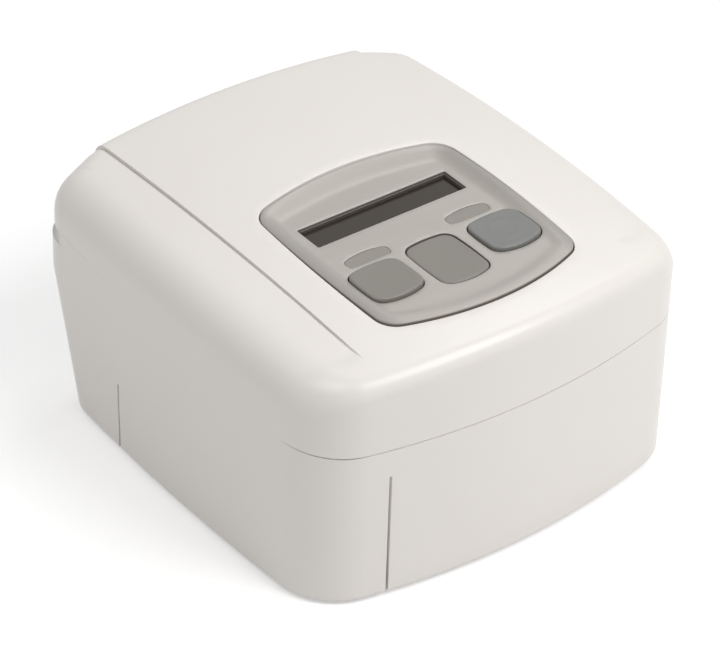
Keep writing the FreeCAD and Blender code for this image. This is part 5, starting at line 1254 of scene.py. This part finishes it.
class AIRWAY_OT_screws(bpy.types.Operator):
    """Build every cross-recessed screw"""

    bl_idname = "airway.screws"
    bl_label = "Screws"

    def execute(self, context):
        tree = placed_tree()
        for node in ("case_screws", "control_screws", "main_screws", "power_screws"):
            screws(node, tree)
        return {"FINISHED"}


def shifted(mesh, x, y, z):
    """Moves a mesh to a place in the layout."""
    mesh.transform(Matrix.Translation(placed((x, y, z))))
    return mesh


def around_blower(count, piece, material, height=0.0, first_angle=0.0):
    """Equal pieces around the blower's shaft, as one mesh."""
    mesh = grown(ring_tree(), points_base([(0, 0, 0)]), {
        "Count": count, "First Angle": first_angle, "Piece": piece, "Material": material})
    return shifted(mesh, BLOWER_X, BLOWER_Y, height)


def wheel_blade(thick, low, high):
    """One swept blade, lower towards its tip, that stands on the wheel's disc."""
    near = []
    for i in range(BLADE_ROWS):
        share = i / (BLADE_ROWS - 1)
        near.append((BLADE_START + BLADE_REACH * share,
                     BLADE_SWEEP * share * (share * 0.4 + 0.6)))
    loop = near + [(along, off + thick) for along, off in reversed(near)]
    blade = Shell()
    foot = blade.add([(x, y, low) for x, y in loop])
    crest = blade.add([(x, y, high - BLADE_FALL * x) for x, y in loop])
    blade.strip(foot, crest)
    for numbers, up in ((foot, False), (crest, True)):
        for i in range(BLADE_ROWS - 1):
            quad = (numbers[i], numbers[i + 1], numbers[-i - 2], numbers[-i - 1])
            blade.face(quad if up else quad[::-1])
    return seed_piece(blade, "blade_seed")


BLOWER_X, BLOWER_Y = -15.0, 78.0
WHEEL_RADIUS, HUB_RADIUS, SHAFT_RADIUS, DISC = 31.0, 6.0, 1.5, 1.2
BLADE_ROWS, BLADE_START, BLADE_REACH = 17, 5.0, 23.5
BLADE_SWEEP, BLADE_FALL = 10.333, 0.035


class AIRWAY_OT_impeller(bpy.types.Operator):
    """Build the blower wheel's disc and hub, and its swept blades"""

    bl_idname = "airway.impeller"
    bl_label = "Impeller"

    def execute(self, context):
        sizes = context.scene.airway_blower
        paint = finishes()["blower_grey"]
        low, high = (v.z * MM - FOOT_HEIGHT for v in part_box("impeller"))
        disc = low + DISC
        wheel, hub, bore = (round_outline(BLOWER_X, BLOWER_Y, radius, 96)
                            for radius in (WHEEL_RADIUS, HUB_RADIUS, SHAFT_RADIUS))
        rows = [ring(bore, 0, low), ring(wheel, 0.4, low), ring(wheel, 0, low + 0.4),
                ring(wheel, 0, disc - 0.4), ring(wheel, 0.4, disc), ring(hub, -1.2, disc),
                ring(hub, -0.3, disc + 0.4), ring(hub, 0, disc + 1.4), ring(hub, 0, high - 0.8),
                ring(hub, 0.8, high), ring(bore, 0, high)]
        shell = Shell()
        first, last = shell.rings(rows)
        shell.strip(last, first)
        shell.piece("impeller_wheel", "blower_rotor", ["impeller"], "blower_grey", [paint])
        blade = wheel_blade(sizes.blade_thick * MM, disc - 0.2, high - 0.6)
        mesh = around_blower(sizes.blade_count, blade, paint)
        handed_in(mesh, "impeller_blades", "blower_rotor", [], [paint])
        return {"FINISHED"}


COILS, COIL_WIDE, COIL_AT = 9, 3.2, 14.4
TURN_ROWS, TURN_DEEP = 6, 0.12


class AIRWAY_OT_motor_coils(bpy.types.Operator):
    """Build the windings between the motor's teeth"""

    bl_idname = "airway.motor_coils"
    bl_label = "Motor Coils"

    def execute(self, context):
        turns = context.scene.airway_blower.coil_turns
        paint = finishes()["copper"]
        low, high = (v.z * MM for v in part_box("motor_coils"))
        plan = bowed_outline(COIL_WIDE, COIL_WIDE, (0.3, 0.3, 0.3), (0.8, 0.8), -COIL_WIDE / 2,
                             0.5, middle=(COIL_AT, 0))
        rows, count = [], turns * TURN_ROWS
        for i in range(count + 1):
            dip = TURN_DEEP * (1 + math.cos(2 * math.pi * i / TURN_ROWS))
            rows.append(ring(plan, dip, low + 0.2 + (high - low - 0.4) * i / count))
        shell = Shell()
        shell.capped(rows)
        mesh = around_blower(COILS, seed_piece(shell, "coil_seed"), paint, -FOOT_HEIGHT,
                             math.pi / COILS)
        handed_in(mesh, "motor_coils_wound", "case", ["motor_coils"], [paint])
        return {"FINISHED"}


def flat_outline(x, y, wide, deep, corner):
    """A rounded rectangle with straight sides."""
    points = []
    for quarter, (sx, sy) in enumerate(((1, 1), (-1, 1), (-1, -1), (1, -1))):
        cx, cy = x + sx * (wide / 2 - corner), y + sy * (deep / 2 - corner)
        for i in range(5):
            turn = (quarter + i / 4) * math.pi / 2
            points.append((cx + corner * math.cos(turn), cy + corner * math.sin(turn),
                           math.cos(turn), math.sin(turn)))
    return points


def slab(plan, low, high):
    """A closed upright block with a softened top rim."""
    shell = Shell()
    shell.capped([ring(plan, 0, low), ring(plan, 0, high - 0.3), ring(plan, 0.3, high)])
    return shell


SINK_FOOT, FINS, FIN_GAP = 0.245, 4, 1.4  # the foot is a share of the whole height


class AIRWAY_OT_heat_sink(bpy.types.Operator):
    """Build the heat sink's foot and its row of fins"""

    bl_idname = "airway.heat_sink"
    bl_label = "Heat Sink"

    def execute(self, context):
        paint = finishes()["aluminium"]
        low, high = (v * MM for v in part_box("heat_sink"))
        wide, deep, tall = high - low
        x, y = (low.x + high.x) / 2, (low.y + high.y) / 2 + HALF_DEPTH
        floor, crest = low.z - FOOT_HEIGHT, high.z - FOOT_HEIGHT
        foot_top = floor + tall * SINK_FOOT
        block = slab(flat_outline(x, y, wide, deep, 0.4), floor, foot_top)
        block.piece("heat_sink_foot", "case", ["heat_sink"], "aluminium", [paint])
        thick = deep / FINS - FIN_GAP
        fin = slab(flat_outline(0, 0, wide, thick, 0.3), 0, crest - foot_top)
        mesh = grown(row_tree(), points_base([(0, 0, 0)]), {
            "Count": FINS, "Pitch": (0.0, (deep - thick) / (FINS - 1) / MM, 0.0),
            "Piece": seed_piece(fin, "fin_seed"), "Material": paint})
        mesh = shifted(mesh, x, y, foot_top - 0.1)
        handed_in(mesh, "heat_sink_fins", "case", [], [paint])
        return {"FINISHED"}


HOSE_BORE, HOSE_CUFF, RIB_ROWS, RIB_DEEP = 10.6, 4.0, 8, 0.55


def hose_profile(length, radius, ribs):
    """The closed outline of half the hose's wall, from the sweep's radius inwards."""
    end, wall = length / 2, HOSE_BORE - radius
    profile = [(wall, -end), (wall, end), (0.0, end), (0.0, end - HOSE_CUFF)]
    count = ribs * RIB_ROWS
    for i in range(1, count):
        share = i / count
        dip = RIB_DEEP * (1 - math.cos(2 * math.pi * ribs * share))
        profile.append((-dip, end - HOSE_CUFF - (length - 2 * HOSE_CUFF) * share))
    return profile + [(0.0, HOSE_CUFF - end), (0.0, -end)]


class AIRWAY_OT_inner_hose(bpy.types.Operator):
    """Build the corrugated hose between the blower and the outlet"""

    bl_idname = "airway.inner_hose"
    bl_label = "Inner Hose"

    def execute(self, context):
        ribs = context.scene.airway_blower.hose_ribs
        paint = finishes()["silicone_grey"]
        low, high = (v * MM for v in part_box("inner_hose"))
        radius = (high.x - low.x) / 2
        profile = hose_profile(high.y - low.y, radius, ribs)
        line = bpy.data.meshes.new("hose_profile")
        line.from_pydata([(x / MM, y / MM, 0) for x, y in profile],
                         [(i, (i + 1) % len(profile)) for i in range(len(profile))], [])
        mesh = grown(turned_tree(), line, {"Radius": radius / MM, "Steps": 72,
                                           "Material": paint})
        mesh.transform(Matrix.Rotation(math.pi / 2, 4, "X"))
        mesh.transform(Matrix.Translation((low + high) / 2 / MM))
        handed_in(mesh, "inner_hose_ribbed", "case", ["inner_hose"], [paint],
                  sharp=50)
        return {"FINISHED"}


# ---------------------------------------------------------------- the rest of the nodes

# The nodes that get softened corners, with the size of the softening.
SOFTENED = {
    "port_plate": 0.4, "air_outlet": 0.35, "mains_inlet": 0.3, "mains_pins": 0.3,
    "power_jack": 0.25, "jack_pin": 0.2, "data_socket": 0.2, "data_cap": 0.4,
    "filter_cover": 0.4, "rubber_feet": 0.5, "blower_base": 0.4, "blower_cover": 0.4,
    "motor_plate": 0.2, "motor_stator": 0.2, "rotor_magnet": 0.3, "motor_shaft": 0.2,
    "lower_bearing": 0.2, "upper_bearing": 0.2, "blower_mounts": 0.3, "inlet_muffler": 0.4,
    "main_chips": 0.15, "beeper": 0.3, "pressure_sensor": 0.2, "transformer": 0.4,
    "power_capacitors": 0.5, "ribbon_sockets": 0.15, "control_board": 0.1, "main_board": 0.1,
    "power_board": 0.1, "display_module": 0.2, "keypad_mat": 0.2, "muffler_foam": 0.6,
    "filter_foam": 0.5,
}


def body_of(node):
    """The body that carries a node."""
    bodies = frame["record"]["behaviour"]["bodies"]
    return next(name for name, nodes in bodies.items() if node in nodes)


class AIRWAY_OT_other_nodes(bpy.types.Operator):
    """Soften the corners of the plain nodes and give each its finish"""

    bl_idname = "airway.other_nodes"
    bl_label = "Other Nodes"

    def execute(self, context):
        paints = finishes()
        for entry in frame["record"]["subparts"]:
            name, slot = entry["node"], entry["material_slot"]
            node = frame["nodes"][name]
            if node.hide_render:
                continue
            node.data.materials.clear()
            node.data.materials.append(paints[slot])
            if name in SOFTENED:
                dressed(name, body_of(name), [paints[slot]], SOFTENED[name])
        return {"FINISHED"}


# ---------------------------------------------------------------- stage

FLOOR_HALF = 0.9  # metres, as are the places and sizes of the lamps; powers are watts
FLOOR_GLOW, SKY_LIGHT = 0.3, 0.34
STUDIO = {
    "key_light": ((0.25, -0.54, 0.77), 0.5, 4.6),
    "top_light": ((-0.60, 0.05, 1.00), 0.6, 3.2),
    "low_light": ((0.30, -0.95, 0.22), 0.5, 0.5),
    "rear_light": ((0.50, 0.26, 0.80), 0.4, 1.25),
}
LOOK_AT = Vector((0, 0, 0.05))
EYE = Vector((-626.687, -781.863, 753.381)) / MM
AHEAD = Vector((0.50840029, 0.63663412, -0.5798501))
ROLL = math.radians(1.76)
SENSOR, FOCAL_PIXELS, PICTURE_PIXELS = 36.0, 3491.6, 720  # the lens reaches this many pixels


class AIRWAY_OT_stage(bpy.types.Operator):
    """Lay the floor, hang the lamps and set the camera"""

    bl_idname = "airway.stage"
    bl_label = "Stage"

    def execute(self, context):
        scene = context.scene
        scene.view_settings.view_transform = "Standard"
        mesh = bpy.data.meshes.new("floor")
        corners = ((-1, -1), (1, -1), (1, 1), (-1, 1))
        mesh.from_pydata([(x * FLOOR_HALF, y * FLOOR_HALF, 0) for x, y in corners],
                         [], [(0, 1, 2, 3)])
        floor = bpy.data.objects.new("floor", mesh)
        scene.collection.objects.link(floor)
        mesh.materials.append(floor_paint())
        sky(scene)
        for name, (spot, size, power) in STUDIO.items():
            lamp(name, Vector(spot), size, power)
        camera(scene)
        return {"FINISHED"}


def seen_directly(tree):
    """1 on rays from the camera and those that gloss or glass sends on, else 0."""
    seen = add(tree, "ShaderNodeLightPath").outputs
    either = add(tree, "ShaderNodeMath", {"operation": "ADD"},
                 {0: seen["Is Camera Ray"], 1: seen["Is Glossy Ray"]}).outputs[0]
    return add(tree, "ShaderNodeMath", {"operation": "ADD", "use_clamp": True},
               {0: either, 1: seen["Is Transmission Ray"]}).outputs[0]


def floor_paint():
    """Matt white paper that stays white around the object and keeps its shadow."""
    made = bpy.data.materials.new("matt_white_paper")
    made.use_nodes = True
    tree = made.node_tree
    tree.nodes.clear()
    level = add(tree, "ShaderNodeMapRange", {"To Min": 0.0, "To Max": FLOOR_GLOW},
                {"Value": seen_directly(tree)}).outputs[0]
    paper = add(tree, "ShaderNodeBsdfDiffuse", {"Color": linear("#F2F2F2")}).outputs[0]
    glow = add(tree, "ShaderNodeEmission", {"Color": (1, 1, 1, 1)}, {"Strength": level})
    both = add(tree, "ShaderNodeAddShader", None, {0: paper, 1: glow.outputs[0]})
    add(tree, "ShaderNodeOutputMaterial", None, {"Surface": both.outputs[0]})
    return made


def sky(scene):
    """White to the camera and in reflections, and an even soft light elsewhere."""
    world = bpy.data.worlds.new("studio")
    scene.world = world
    world.use_nodes = True
    tree = world.node_tree
    tree.nodes.clear()
    level = add(tree, "ShaderNodeMapRange", {"To Min": SKY_LIGHT, "To Max": 1.0},
                {"Value": seen_directly(tree)}).outputs[0]
    back = add(tree, "ShaderNodeBackground", {"Color": (1, 1, 1, 1)}, {"Strength": level})
    add(tree, "ShaderNodeOutputWorld", None, {"Surface": back.outputs[0]})


def lamp(name, spot, size, power):
    """A square soft lamp that looks at the object."""
    light = bpy.data.lights.new(name, "AREA")
    light.size, light.energy = size, power
    thing = bpy.data.objects.new(name, light)
    thing.location = spot
    thing.rotation_euler = (LOOK_AT - spot).to_track_quat("-Z", "Y").to_euler()
    bpy.context.scene.collection.objects.link(thing)


def camera(scene):
    """A long lens from above the left front corner."""
    ahead = AHEAD.normalized()
    right = ahead.cross(Vector((0, 0, 1))).normalized()
    up = right.cross(ahead)
    across = math.cos(ROLL) * right + math.sin(ROLL) * up
    upward = math.cos(ROLL) * up - math.sin(ROLL) * right
    lens = bpy.data.cameras.new("camera")
    lens.sensor_width, lens.clip_end = SENSOR, 10.0
    lens.lens = FOCAL_PIXELS * SENSOR / PICTURE_PIXELS
    thing = bpy.data.objects.new("camera", lens)
    thing.matrix_world = Matrix((across, upward, -ahead)).transposed().to_4x4()
    thing.location = EYE
    scene.collection.objects.link(thing)
    scene.camera = thing


# ---------------------------------------------------------------- add-on

PIECES = [
    AIRWAY_OT_top_housing,
    AIRWAY_OT_bottom_housing,
    AIRWAY_OT_keypad_plate,
    AIRWAY_OT_keys,
    AIRWAY_OT_lamps,
    AIRWAY_OT_display,
    AIRWAY_OT_screws,
    AIRWAY_OT_impeller,
    AIRWAY_OT_motor_coils,
    AIRWAY_OT_heat_sink,
    AIRWAY_OT_inner_hose,
    AIRWAY_OT_other_nodes,
    AIRWAY_OT_stage,
]


class AIRWAY_PT_pieces(bpy.types.Panel):
    """The pieces of the machine and the sizes that they take"""

    bl_idname = "AIRWAY_PT_pieces"
    bl_label = "Airway Machine"
    bl_space_type = "VIEW_3D"
    bl_region_type = "UI"
    bl_category = "Airway Machine"

    def draw(self, context):
        for place in SETTINGS:
            settings = getattr(context.scene, place)
            for name in settings.__annotations__:
                self.layout.prop(settings, name)
        for piece in PIECES:
            self.layout.operator(piece.bl_idname)


SETTINGS = {"airway_case": CaseSettings, "airway_keypad": KeypadSettings,
            "airway_blower": BlowerSettings, "airway_finish": FinishSettings}
CLASSES = [*SETTINGS.values(), *PIECES, AIRWAY_PT_pieces]


def register():
    """Registers the classes and the settings of the scene."""
    for entry in CLASSES:
        bpy.utils.register_class(entry)
    for place, kind in SETTINGS.items():
        setattr(bpy.types.Scene, place, bpy.props.PointerProperty(type=kind))


def unregister():
    """Takes the settings and the classes away again."""
    for place in SETTINGS:
        delattr(bpy.types.Scene, place)
    for entry in reversed(CLASSES):
        bpy.utils.unregister_class(entry)


def main():
    """Builds every piece in order."""
    register()
    for piece in PIECES:
        group, name = piece.bl_idname.split(".")
        getattr(getattr(bpy.ops, group), name)()


if __name__ == "__main__":
    main()
